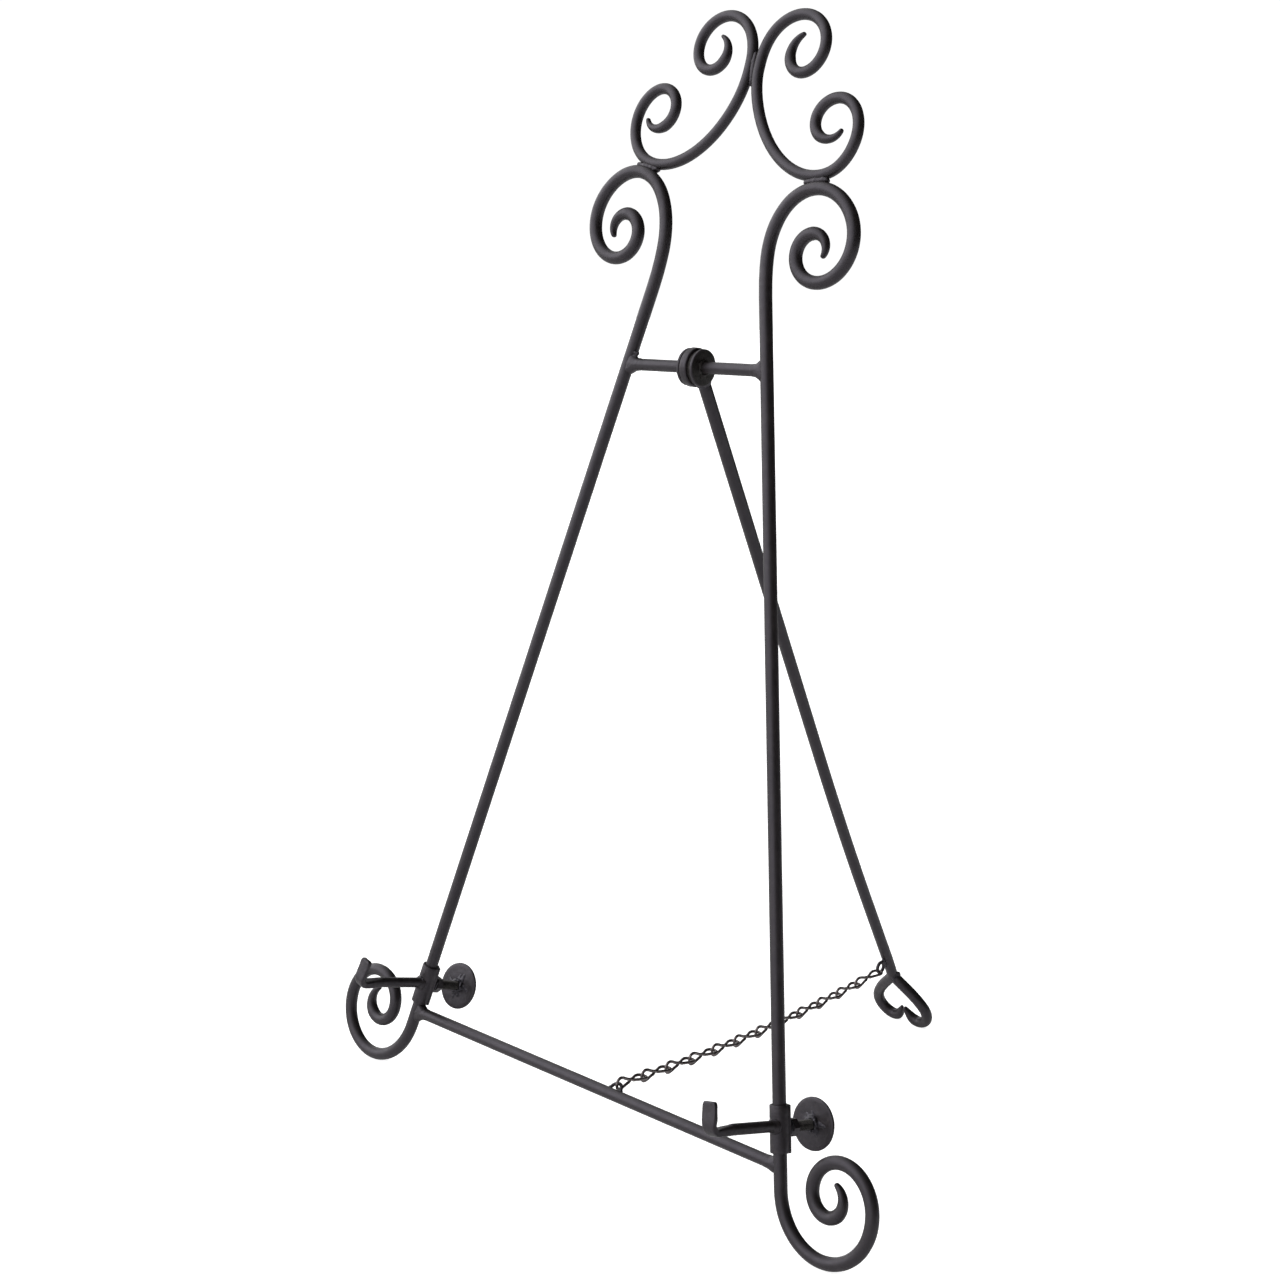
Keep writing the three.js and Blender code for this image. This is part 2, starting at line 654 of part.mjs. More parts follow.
for (const [side, sign] of Object.entries(SIDES)) {
  const { height, swivel, splay, rise, droop, disc, lip } = HOOKS[side];
  const hook = new THREE.Group();
  hook.name = side + "_hook";
  hook.position.copy(legPoint(side, height));
  hook.rotation.set(0, -sign * legAngle * DEG, -swivel * DEG);
  frame.add(hook);

  // The screw's own axis droops towards the back
  const screw = new THREE.Group();
  screw.name = side + "_screw";
  screw.rotation.x = -droop * DEG;
  hook.add(screw);
  const screwHole = alongY(SCREW_HOLE, 30, 16).translate(0, 15, 0);

  const halfSleeve = SLEEVE_LENGTH / 2;
  const sleeve = turnedRing(
    [
      [SLEEVE_BORE, -halfSleeve],
      [SLEEVE_RADIUS, -halfSleeve],
      [SLEEVE_RADIUS, halfSleeve],
      [SLEEVE_BORE, halfSleeve],
    ],
    24,
  ).rotateX(90 * DEG);
  const sleeveHole = screwHole.clone().rotateX(-droop * DEG);
  addMesh(hook, side + "_sleeve", cut(sleeve, sleeveHole), blackSteel);

  const sleeveCutter = alongZ(SLEEVE_RADIUS + GAP, 40, 24);
  const armEnd = new THREE.Vector3(0, -STRIP_START - 1.5, 0);
  const arm = joined(rodBetween(new THREE.Vector3(0, 0, 0), armEnd, ARM_ROD, 14), forgedStrip(lip));
  arm.rotateX(-ARM_SLOPE * DEG).rotateZ(-splay * DEG).translate(0, 0, rise);
  addMesh(hook, side + "_hook_arm", cut(arm, sleeveCutter), blackCoat);

  // Nut welded to the back of the sleeve
  const nutRadius = NUT_FLATS / 2 / Math.cos(Math.PI / 6);
  const nut = alongY(nutRadius, NUT_THICKNESS, 6).translate(0, NUT_FACE + NUT_THICKNESS / 2, 0);
  addMesh(screw, side + "_clamp_nut", cut(nut, screwHole), blackSteel);
  const nutBead = new THREE.CylinderGeometry(3.9, 4.6, NUT_FACE - GAP, 16);
  nutBead.translate(0, (NUT_FACE - GAP) / 2, 0);
  const frontHalf = new THREE.BoxGeometry(20, 2.4, 20).translate(0, 1.2, 0);
  const sleeveFromScrew = sleeveCutter.clone().rotateX(droop * DEG);
  const nutWeld = cut(nutBead, sleeveFromScrew, screwHole, frontHalf);
  addMesh(screw, side + "_nut_weld", nutWeld, weldCoat);

  // Thumb screw: its stem only travels, the disc and its weld turn
  const stemStart = (LEG_ROD + GAP) / Math.cos(droop * DEG) + SCREW_RADIUS * Math.tan(droop * DEG);
  const stemEnd = disc - GAP;
  const stem = alongY(SCREW_RADIUS, stemEnd - stemStart, 16).translate(0, (stemEnd + stemStart) / 2, 0);
  addMesh(screw, side + "_screw_stem", stem, blackSteel);
  const discProfile = [
    new THREE.Vector2(0, 0),
    new THREE.Vector2(DISC_RADIUS - 0.4, 0),
    new THREE.Vector2(DISC_RADIUS, 0.4),
    new THREE.Vector2(DISC_RADIUS, DISC_THICKNESS - 0.4),
    new THREE.Vector2(DISC_RADIUS - 0.4, DISC_THICKNESS),
    new THREE.Vector2(0, DISC_THICKNESS),
  ];
  const thumbDisc = new THREE.LatheGeometry(discProfile, 36).translate(0, disc, 0);
  addMesh(screw, side + "_thumb_disc", thumbDisc, blackSteel);
  const flare = turnedRing(
    [
      [SCREW_RADIUS + GAP, -4.4],
      [SCREW_RADIUS + 1.1, -4.4],
      [SCREW_RADIUS + 1.6, -2.2],
      [SCREW_RADIUS + 3.4, -GAP],
      [SCREW_RADIUS + GAP, -GAP],
    ],
    18,
  ).translate(0, disc, 0);
  addMesh(screw, side + "_disc_weld", flare, weldCoat);
}

// ---------- Stand the easel on its feet, over the origin ----------
easel.updateMatrixWorld(true);
const lowest = (points) => points.reduce((low, p) => (p.z < low.z ? p : low), points[0]);
const footBottom = lowest(legPaths.right);
const heartBottom = lowest(rightLobePath).clone().applyMatrix4(backLeg.matrix);
const lean = Math.atan2(heartBottom.z - footBottom.z, heartBottom.y - footBottom.y);
frame.rotation.x = -lean;
easel.updateMatrixWorld(true);
const box = new THREE.Box3().setFromObject(easel, true);
frame.position.set(-(box.min.x + box.max.x) / 2, -(box.min.y + box.max.y) / 2, -box.min.z);

export default easel;
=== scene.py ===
import json
import math
import random

import bmesh
import bpy
from mathutils import Matrix, Vector, noise


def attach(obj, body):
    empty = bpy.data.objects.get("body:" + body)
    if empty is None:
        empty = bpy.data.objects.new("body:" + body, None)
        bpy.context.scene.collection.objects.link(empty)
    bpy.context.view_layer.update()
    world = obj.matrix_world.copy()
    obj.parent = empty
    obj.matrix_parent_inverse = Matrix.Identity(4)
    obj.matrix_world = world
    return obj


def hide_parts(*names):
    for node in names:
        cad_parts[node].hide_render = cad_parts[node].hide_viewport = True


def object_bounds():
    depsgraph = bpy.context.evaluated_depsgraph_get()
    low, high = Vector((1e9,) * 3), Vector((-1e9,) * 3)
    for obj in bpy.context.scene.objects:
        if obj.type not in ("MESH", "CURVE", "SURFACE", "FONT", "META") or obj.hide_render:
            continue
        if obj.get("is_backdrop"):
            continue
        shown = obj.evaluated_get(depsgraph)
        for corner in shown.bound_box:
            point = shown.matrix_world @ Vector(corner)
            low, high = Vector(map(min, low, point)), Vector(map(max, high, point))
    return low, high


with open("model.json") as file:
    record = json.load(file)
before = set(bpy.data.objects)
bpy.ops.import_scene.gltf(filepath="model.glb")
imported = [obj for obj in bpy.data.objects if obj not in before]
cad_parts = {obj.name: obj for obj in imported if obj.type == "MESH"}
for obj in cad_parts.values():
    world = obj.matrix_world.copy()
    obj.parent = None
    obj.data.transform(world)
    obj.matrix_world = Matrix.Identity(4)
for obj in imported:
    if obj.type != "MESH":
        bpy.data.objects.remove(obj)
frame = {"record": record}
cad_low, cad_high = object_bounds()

MM = 0.001
RECORD = frame["record"]
JOINTS = {j["name"]: j for j in RECORD["behaviour"]["joints"]}

# ---------- The front frame's own axes, from the record's joints ----------
# Drawing coordinates are millimetres in the plane of the front frame: X right, Y back, Z up the frame.
HINGE_HEIGHT = 361.0
HINGE = Vector(JOINTS["leg_fold"]["pos_m"])
LEG_AXES = {s: Vector(JOINTS[s + "_hook_slide"]["axis"]) for s in ("left", "right")}
FRAME_UP = (LEG_AXES["left"] + LEG_AXES["right"]).normalized()
FRAME_RIGHT = Vector((1, 0, 0))
FRAME_BACK = FRAME_UP.cross(FRAME_RIGHT)


def basis(right, back, up, origin):
    """The matrix with these three axes as columns and this origin."""
    m = Matrix((right, back, up)).transposed().to_4x4()
    m.translation = origin
    return m


def shifted(x, y, z):
    return Matrix.Translation((x, y, z))


def rotated(degrees, axis):
    return Matrix.Rotation(math.radians(degrees), 4, axis)


FRAME = basis(FRAME_RIGHT, FRAME_BACK, FRAME_UP, HINGE - FRAME_UP * HINGE_HEIGHT * MM) @ Matrix.Scale(MM, 4)

# ---------- Dimensions, millimetres and degrees ----------
LEG_ROD = 3.25
BAR_ROD = 3.0
CREST_ROD = 2.75
ARM_ROD = 2.7
LEG_HALF_SPACING = 126.4
LEG_CONVERGENCE = 0.2272
LEG_ANGLE = math.degrees(math.atan(LEG_CONVERGENCE))
STRAIGHT_TOP = 397.6
LOWER_BAR_HEIGHTS = {"left": 0.0, "right": 1.7}
HINGE_BAR_HEIGHTS = {"left": 359.0, "right": 363.0}
# Each bend: a straight run first, the radius at both ends of every stretch, the angle of every stretch
FOOT_BENDS = {
    "left": (7.9, [36.5, 22.8, 24.4, 17.1, 13.2, 8.6, 8.9], [77.2, 90, 90, 90, 90, 150]),
    "right": (8.6, [34.9, 23.1, 26, 15.4, 14.4, 7.3, 9.5], [77.2, 90, 90, 90, 90, 153]),
}
NECK_TURNS = [12.8, 45, 45, 45, 45, 90, 90, 90]
NECK_BENDS = {
    "left": (0, [150, 53.8, 24.1, 18.5, 27.7, 21.8, 14.3, 11.2, 8.3, 6.7], NECK_TURNS + [122]),
    "right": (0, [150, 42.7, 23.4, 21.8, 26.1, 21.7, 15.7, 11, 8.2, 6], NECK_TURNS + [121]),
}
CREST_LEAN = 7
CREST_LEAN_HEIGHT = 440
CREST_CONTACT_HEIGHT = 507.4
CREST_HALF_GAP = 0.25
CREST_UPPER_BENDS = {
    "left": (3, [32.9, 23, 16, 14.6, 8.4, 8.9, 9.5], [30, 60, 90, 90, 90, 64]),
    "right": (3, [36.9, 19.4, 18.8, 14.9, 8.3, 10.6, 10.3], [30, 60, 90, 90, 90, 62]),
}
CREST_LOWER_TURNS = [30, 45, 45, 45, 90, 90, 90]
CREST_LOWER_BENDS = {
    "left": (0, [43.1, 57.5, 33.5, 21.2, 23.1, 10.7, 10.9, 9, 6.8], CREST_LOWER_TURNS + [83]),
    "right": (0, [18.5, 76.4, 34.2, 15.1, 23, 12.6, 9.8, 9.3, 6.6], CREST_LOWER_TURNS + [80]),
}
OPEN_ANGLE = 38.8
LEG_TOP_OFFSET = 1.7
LEG_BOW = 2.8
LEG_BOW_DISTANCE = 305
HEART_BEND_START = 418
HEART_BEND_RADIUS = 8
HEART_SPREAD = 42
HEART_STRAIGHT = 9.2
HEART_RADII = [66, 12.8, 10.3, 3.8, 9.9]
HEART_TURNS = [22, 60, 70, 43.5]
HEART_TAIL = 5.1
HEART_TIP_LENGTH = 9
BARREL_RADIUS = 9.6
BARREL_BORE = BAR_ROD + 0.35
BARREL_WIDTH = 6.0
WASHER_RADIUS = 9.2
WASHER_BORE = BAR_ROD + 0.05
WASHER_THICKNESS = 1.6
GROOVE_WIDTH = 1.7
GROOVE_DEPTH = 1.3
SIDE_PLAY = 0.4
EYE_DISTANCE = 407
EYE_RADIUS = 3.0
EYE_WIRE = 1.0
EYE_STANDOFF = 7.55
CHAIN_LINKS = 12
CHAIN_WIRE = 0.8
CHAIN_PLAY = 0.4
CHAIN_SAG = 4.8
LOBE_HALF_WIDTH = 2.45
LOBE_POINTS = 26
WAIST_HALF_LENGTH = 1.5
WAIST_CLEARANCE = 0.06
WAIST_POINTS = 5
STAPLE_OFFSET = 19
STAPLE_WIRE = 0.9
STAPLE_RADIUS = 3.2
STAPLE_FOOT = 3.5
SLEEVE_RADIUS = 4.65
SLEEVE_BORE = 3.55
SLEEVE_LENGTH = 22.0
SLEEVE_SEAM_ANGLE = 62
ARM_REACH = 49.0
ARM_SLOPE = 4.5
STRIP_START = 33.0
STRIP_THICKNESS = 2.4
STRIP_RUN = 22.0
LIP_HEIGHT = 13.2
LIP_INNER_RADIUS = 3
LIP_END = 0.75
LIP_CROP = 0.14
NUT_FACE = 5.7
NUT_THICKNESS = 4.0
NUT_FLATS = 8.0
SCREW_RADIUS = 2.5
SCREW_PITCH = 0.8
SCREW_DEPTH = 0.45
DISC_RADIUS = 12.6
DISC_THICKNESS = 2.0
# Each hook: height of the sleeve, swivel about the leg, splay and rise of the arm, droop of the screw,
# how far out its disc stands, and the width of the lip
HOOK_SET = {
    "left": {"height": 16.4, "swivel": 0, "splay": 2.6, "rise": 0.5, "droop": 9, "disc": 25.5, "lip": 6.8},
    "right": {"height": 18.6, "swivel": 3.9, "splay": 0, "rise": 1.2, "droop": 2.5, "disc": 23.0, "lip": 8.4},
}
SIDES = {"left": -1, "right": 1}
LEG_TIP = 16
CREST_TIP = 14
FLOOR_HALF = 12.0
# How finely each kind of weld is remeshed
FINE_VOXEL = 0.3
HOOK_VOXEL = 0.34
BEAD_VOXEL = 0.36


def leg_at(height):
    return LEG_HALF_SPACING - LEG_CONVERGENCE * height


BACK_LEG = FRAME @ shifted(0, 0, HINGE_HEIGHT) @ rotated(OPEN_ANGLE, "X")
AROUND_BAR = rotated(-90, "Z")
HOOKS = {}
ARMS = {}
SCREWS = {}
for side, sign in SIDES.items():
    fit = HOOK_SET[side]
    seat = FRAME @ shifted(sign * leg_at(fit["height"]), 0, fit["height"])
    HOOKS[side] = seat @ rotated(-sign * LEG_ANGLE, "Y") @ rotated(-fit["swivel"], "Z")
    splayed = shifted(0, 0, fit["rise"]) @ rotated(-fit["splay"], "Z")
    ARMS[side] = HOOKS[side] @ splayed @ rotated(-ARM_SLOPE, "X")
    SCREWS[side] = HOOKS[side] @ rotated(-fit["droop"], "X")


# ---------- Materials ----------
RANGE_SOCKETS = ("From Min", "From Max", "To Min", "To Max")
COAT_SHEEN = (0.90, 0.85, 1.0, 1.0)


class Nodes:
    """Short-hand for building one material's node tree."""

    def __init__(self, name):
        self.material = bpy.data.materials.new(name)
        self.material.use_nodes = True
        self.tree = self.material.node_tree
        self.shader = self.tree.nodes["Principled BSDF"]
        self.place = self.tree.nodes.new("ShaderNodeTexCoord").outputs["Object"]

    def node(self, kind, **settings):
        made = self.tree.nodes.new(kind)
        for key, value in settings.items():
            setattr(made, key, value)
        return made

    def link(self, a, b):
        self.tree.links.new(a, b)

    def noise(self, per_metre, detail=3.0, roughness=0.5, distortion=0.0):
        n = self.node("ShaderNodeTexNoise")
        n.inputs["Scale"].default_value = per_metre
        n.inputs["Detail"].default_value = detail
        n.inputs["Roughness"].default_value = roughness
        n.inputs["Distortion"].default_value = distortion
        self.link(self.place, n.inputs["Vector"])
        return n.outputs["Fac"]

    def cells(self, per_metre):
        n = self.node("ShaderNodeTexVoronoi", feature="SMOOTH_F1")
        n.inputs["Scale"].default_value = per_metre
        n.inputs["Smoothness"].default_value = 1.0
        self.link(self.place, n.inputs["Vector"])
        return n.outputs["Distance"]

    def ramp(self, value, stops):
        n = self.node("ShaderNodeValToRGB")
        ramp = n.color_ramp
        ramp.elements[0].position, ramp.elements[0].color = stops[0][0], (*stops[0][1], 1)
        ramp.elements[1].position, ramp.elements[1].color = stops[-1][0], (*stops[-1][1], 1)
        for at, colour in stops[1:-1]:
            ramp.elements.new(at).color = (*colour, 1)
        self.link(value, n.inputs["Fac"])
        return n.outputs["Color"]

    def spread(self, value, low, high, new_low, new_high):
        n = self.node("ShaderNodeMapRange")
        for socket, number in zip(RANGE_SOCKETS, (low, high, new_low, new_high)):
            n.inputs[socket].default_value = number
        self.link(value, n.inputs["Value"])
        return n.outputs["Result"]

    def math(self, operation, a, b):
        n = self.node("ShaderNodeMath", operation=operation)
        for socket, value in zip(n.inputs, (a, b)):
            if isinstance(value, (int, float)):
                socket.default_value = value
            else:
                self.link(value, socket)
        return n.outputs["Value"]

    def mix(self, factor, a, b):
        n = self.node("ShaderNodeMix", data_type="RGBA")
        self.link(factor, n.inputs["Factor"])
        for socket, value in ((n.inputs["A"], a), (n.inputs["B"], b)):
            if isinstance(value, tuple):
                socket.default_value = (*value, 1)
            else:
                self.link(value, socket)
        return n.outputs["Result"]

    def bump(self, height, distance_mm, strength=1.0, under=None):
        n = self.node("ShaderNodeBump")
        n.inputs["Strength"].default_value = strength
        n.inputs["Distance"].default_value = distance_mm * MM
        self.link(height, n.inputs["Height"])
        if under is not None:
            self.link(under, n.inputs["Normal"])
        return n.outputs["Normal"]

    def with_sheen(self):
        """The finished material of a coated surface: its highlights are slightly violet."""
        self.shader.inputs["Specular IOR Level"].default_value = 0.6
        self.shader.inputs["Specular Tint"].default_value = COAT_SHEEN
        return self.material


def black_coat():
    """Satin powder coat: faint orange peel, slightly uneven gloss, a little dust in the colour."""
    m = Nodes("satin_black_coat")
    tone = m.ramp(
        m.noise(140, 4, 0.55),
        [(0.3, (0.0078, 0.0061, 0.0054)), (0.55, (0.0120, 0.0096, 0.0086)), (0.75, (0.0175, 0.0145, 0.0135))],
    )
    specks = m.spread(m.noise(2600, 2, 0.6), 0.7, 0.78, 0, 0.5)
    m.link(m.mix(specks, tone, (0.06, 0.06, 0.062)), m.shader.inputs["Base Color"])
    gloss = m.spread(m.noise(330, 4, 0.6), 0.3, 0.7, 0.36, 0.5)
    m.link(gloss, m.shader.inputs["Roughness"])
    peel = m.bump(m.noise(1500, 2, 0.5), 0.035, 0.55)
    dents = m.bump(m.noise(190, 2, 0.5), 0.25, 0.2, peel)
    m.link(dents, m.shader.inputs["Normal"])
    return m.with_sheen()


def black_steel():
    """The same coat, thinner, over cut and forged steel: file marks and scuffs."""
    m = Nodes("black_coated_steel")
    tone = m.ramp(
        m.noise(420, 5, 0.6, 0.4),
        [(0.3, (0.0076, 0.0060, 0.0054)), (0.55, (0.0135, 0.0110, 0.0102)), (0.72, (0.026, 0.0215, 0.0205))],
    )
    scuffs = m.spread(m.noise(1700, 3, 0.7, 1.2), 0.66, 0.76, 0, 0.6)
    m.link(m.mix(scuffs, tone, (0.09, 0.085, 0.082)), m.shader.inputs["Base Color"])
    gloss = m.spread(m.noise(700, 4, 0.6), 0.3, 0.7, 0.33, 0.58)
    m.link(gloss, m.shader.inputs["Roughness"])
    hammer = m.bump(m.cells(330), 0.28, 0.45)
    grain = m.bump(m.noise(1900, 4, 0.65), 0.09, 0.6, hammer)
    m.link(grain, m.shader.inputs["Normal"])
    return m.with_sheen()


def weld_coat():
    """Coat over weld: lumpy, its roughness uneven."""
    m = Nodes("coated_weld")
    tone = m.ramp(
        m.noise(500, 4, 0.6),
        [(0.3, (0.0052, 0.0050, 0.0060)), (0.7, (0.0130, 0.0125, 0.0140))],
    )
    m.link(tone, m.shader.inputs["Base Color"])
    m.link(m.spread(m.noise(900, 3, 0.6), 0.3, 0.7, 0.26, 0.5), m.shader.inputs["Roughness"])
    ripple = m.bump(m.cells(700), 0.25, 0.6)
    m.link(m.bump(m.noise(2400, 3, 0.6), 0.06, 0.6, ripple), m.shader.inputs["Normal"])
    return m.with_sheen()


def chain_wire():
    """Dark bronzed wire with painted glints in its lighter patches and darker oxide in between."""
    m = Nodes("bronzed_chain_wire")
    # The lightest stop paints glints into the wire's colour; the darkest stop is oxide.
    tone = m.ramp(
        m.noise(520, 4, 0.6, 0.6),
        [(0.3, (0.07, 0.060, 0.060)), (0.5, (0.15, 0.130, 0.130)), (0.72, (0.32, 0.285, 0.28))],
    )
    m.link(tone, m.shader.inputs["Base Color"])
    m.shader.inputs["Metallic"].default_value = 0.85
    m.link(m.spread(m.noise(800, 3, 0.6), 0.3, 0.7, 0.26, 0.46), m.shader.inputs["Roughness"])
    m.link(m.bump(m.noise(2600, 3, 0.6), 0.05, 0.6), m.shader.inputs["Normal"])
    return m.material


def thread_steel():
    """Dark oiled screw steel."""
    m = Nodes("dark_thread_steel")
    tone = m.ramp(m.noise(900, 4, 0.6), [(0.3, (0.012, 0.011, 0.011)), (0.7, (0.05, 0.045, 0.042))])
    m.link(tone, m.shader.inputs["Base Color"])
    m.shader.inputs["Metallic"].default_value = 0.6
    m.link(m.spread(m.noise(1200, 3, 0.6), 0.3, 0.7, 0.3, 0.5), m.shader.inputs["Roughness"])
    m.link(m.bump(m.noise(3000, 3, 0.6), 0.03, 0.5), m.shader.inputs["Normal"])
    return m.material


def scorched_steel():
    """Bare steel burnt brown-black by welding: rough, flaky and dull."""
    m = Nodes("scorched_steel")
    tone = m.ramp(
        m.noise(1100, 5, 0.65, 0.6),
        [(0.3, (0.0040, 0.0030, 0.0026)), (0.55, (0.0085, 0.0062, 0.0052)), (0.74, (0.030, 0.022, 0.018))],
    )
    m.link(tone, m.shader.inputs["Base Color"])
    m.link(m.spread(m.noise(1500, 3, 0.6), 0.3, 0.7, 0.42, 0.75), m.shader.inputs["Roughness"])
    flakes = m.bump(m.cells(900), 0.22, 0.6)
    m.link(m.bump(m.noise(3200, 4, 0.65), 0.08, 0.6, flakes), m.shader.inputs["Normal"])
    m.shader.inputs["Specular IOR Level"].default_value = 0.4
    return m.material


COAT = black_coat()
STEEL = black_steel()
WELD = weld_coat()
CHAIN = chain_wire()
THREAD = thread_steel()
SCORCHED = scorched_steel()


# ---------- Mesh helpers ----------
# Longest steps of a rod's path: degrees round a bend, millimetres along a straight
BEND_STEP = 4.0
STRAIGHT_STEP = 9.0
# How thin a forged tip is at its very end, as a share of the rod
TIP_SHARE = 0.36


def finish_piece(name, bm, matrix, material, body, nodes=(), smooth_angle=35):
    """Makes a drawn bmesh a piece in the shared frame; it rides on a body and stands for CAD nodes."""
    bmesh.ops.remove_doubles(bm, verts=bm.verts, dist=1e-4)
    bmesh.ops.transform(bm, matrix=matrix, verts=bm.verts)
    bmesh.ops.recalc_face_normals(bm, faces=bm.faces)
    mesh = bpy.data.meshes.new(name)
    bm.to_mesh(mesh)
    bm.free()
    mesh.materials.append(material)
    for polygon in mesh.polygons:
        polygon.use_smooth = True
    mesh.set_sharp_from_angle(angle=math.radians(smooth_angle))
    piece = bpy.data.objects.new(name, mesh)
    bpy.context.scene.collection.objects.link(piece)
    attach(piece, body)
    if nodes:
        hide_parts(*nodes)


def follow_bends(start, heading_degrees, straight, radii, turns, side):
    """Points of a rod bent in one plane; each bend's radius changes evenly over its angle."""
    here = Vector(start)
    points = [here.copy()]
    heading = math.radians(heading_degrees)
    if straight > 0:
        here = here + straight * Vector((math.cos(heading), math.sin(heading)))
        points.append(here.copy())
    for k, turn in enumerate(turns):
        count = max(1, math.ceil(turn / BEND_STEP)) * 3
        part = math.radians(turn) / count
        for i in range(count):
            radius = radii[k] + (radii[k + 1] - radii[k]) * (i + 0.5) / count
            middle = heading + side * part / 2
            here = here + radius * part * Vector((math.cos(middle), math.sin(middle)))
            heading += side * part
            if i % 3 == 2:
                points.append(here.copy())
    return points


def in_plane(points):
    """Plane points (across, up) as drawing points."""
    return [Vector((p.x, 0, p.y)) for p in points]


def mirrored(points):
    return [Vector((-p.x, p.y, p.z)) for p in points]


def subdivided(points, longest):
    """The same path with its long straight runs cut into shorter steps."""
    out = [points[0]]
    for a, b in zip(points, points[1:]):
        pieces = max(1, math.ceil((b - a).length / longest))
        for i in range(1, pieces + 1):
            out.append(a.lerp(b, i / pieces))
    return out


def lengths_along(points):
    total = [0.0]
    for a, b in zip(points, points[1:]):
        total.append(total[-1] + (b - a).length)
    return total


def join_rings(bm, pairs):
    """Faces between the two equal rings of vertices in every pair."""
    for a, b in pairs:
        count = len(a)
        for k in range(count):
            bm.faces.new((a[k], a[(k + 1) % count], b[(k + 1) % count], b[k]))


def full_turn(count):
    """Evenly spaced angles round a full turn."""
    return [2 * math.pi * k / count for k in range(count)]


def circle_verts(bm, radius, height, count, axis="Y"):
    """A ring of vertices about an axis through the origin."""
    ring = []
    for a in full_turn(count):
        c, s = radius * math.cos(a), radius * math.sin(a)
        ring.append(bm.verts.new((c, height, s) if axis == "Y" else (c, s, height)))
    return ring


# The two rings that close a tube's end: their share of the end's length, and of its width
ROUND_END = ((0.45, 0.86), (0.8, 0.5))
BLUNT_END = ((0.5, 0.97), (0.9, 0.86))
ROUND_END_REACH = 0.75


def add_tube(bm, points, section, closed=False, first_normal=None, end_reach=None):
    """A tube along points. section(i, s, total) gives its outline as (across, along the normal) offsets;
    its ends are round, or blunt where their length end_reach is given."""
    along = lengths_along(points + points[:1] if closed else points)
    count = len(points)
    tangents = []
    for i in range(count):
        before = points[(i - 1) % count] if closed or i else points[0]
        after = points[(i + 1) % count] if closed or i < count - 1 else points[-1]
        tangents.append((after - before).normalized())
    normal = first_normal or Vector((0, 1, 0))
    normal = (normal - tangents[0] * normal.dot(tangents[0])).normalized()
    rings = []
    for i, (p, t) in enumerate(zip(points, tangents)):
        normal = (normal - t * normal.dot(t)).normalized()
        across = t.cross(normal)
        shape = section(i, along[i], along[-1])
        rings.append([bm.verts.new(p + across * a + normal * b) for a, b in shape])
    if closed:
        join_rings(bm, list(zip(rings, rings[1:])) + [(rings[-1], rings[0])])
        return
    join_rings(bm, zip(rings, rings[1:]))
    sides = len(rings[0])
    for end, way in ((0, -1), (-1, 1)):
        ring, point, tangent = rings[end], points[end], tangents[end]
        reach = end_reach or ROUND_END_REACH * sum((v.co - point).length for v in ring) / sides
        last = ring
        for out, width in BLUNT_END if end_reach else ROUND_END:
            step = [bm.verts.new(point + (v.co - point) * width + tangent * way * reach * out) for v in ring]
            join_rings(bm, [(last, step)])
            last = step
        tip = bm.verts.new(point + tangent * way * reach)
        for k in range(sides):
            bm.faces.new((last[k], last[(k + 1) % sides], tip))


def circle(radius_a, radius_b, sides):
    return [(radius_a * math.cos(a), radius_b * math.sin(a)) for a in full_turn(sides)]


def rod(name, points, radius, matrix, body, nodes, tip_start=0.0, tip_end=0.0, sides=20, material=None):
    """A round rod; its ends may be forged down to a slightly flattened point over the given lengths."""
    points = subdivided(points, STRAIGHT_STEP)

    def section(i, s, total):
        scale = 1.0
        for tip, distance in ((tip_start, s), (tip_end, total - s)):
            if tip:
                share = min(1.0, distance / tip)
                scale = min(scale, TIP_SHARE + (1 - TIP_SHARE) * share ** 0.85)
        wobble = 1 + 0.012 * noise.noise(points[i] * 0.09) if tip_start or tip_end else 1
        return circle(radius * scale * wobble, radius * (scale ** 0.7) * wobble, sides)

    bm = bmesh.new()
    add_tube(bm, points, section)
    finish_piece(name, bm, matrix, material or COAT, body, nodes)


def wire_ring(name, points, radius, sides, matrix, material, body, node, smooth_angle):
    """Round wire bent into one closed loop."""
    bm = bmesh.new()
    outline = circle(radius, radius, sides)
    add_tube(bm, points, lambda i, s, total: outline, closed=True, first_normal=Vector((1, 0, 0)))
    finish_piece(name, bm, matrix, material, body, [node], smooth_angle)


def turned(name, profile, matrix, material, body, nodes, segments, dent):
    """A ring turned about Y from a closed profile of (radius, height), its faces uneven by about dent."""
    bm = bmesh.new()
    rings = [circle_verts(bm, radius, height, segments) for radius, height in profile]
    for a, b in list(zip(rings, rings[1:])) + [(rings[-1], rings[0])]:
        for k in range(segments):
            n = (k + 1) % segments
            bm.faces.new((a[k], b[k], b[n], a[n]))
    for v in bm.verts:
        v.co += Vector((0, 1, 0)) * dent * noise.noise(v.co * 0.35)
    finish_piece(name, bm, matrix, material, body, nodes)


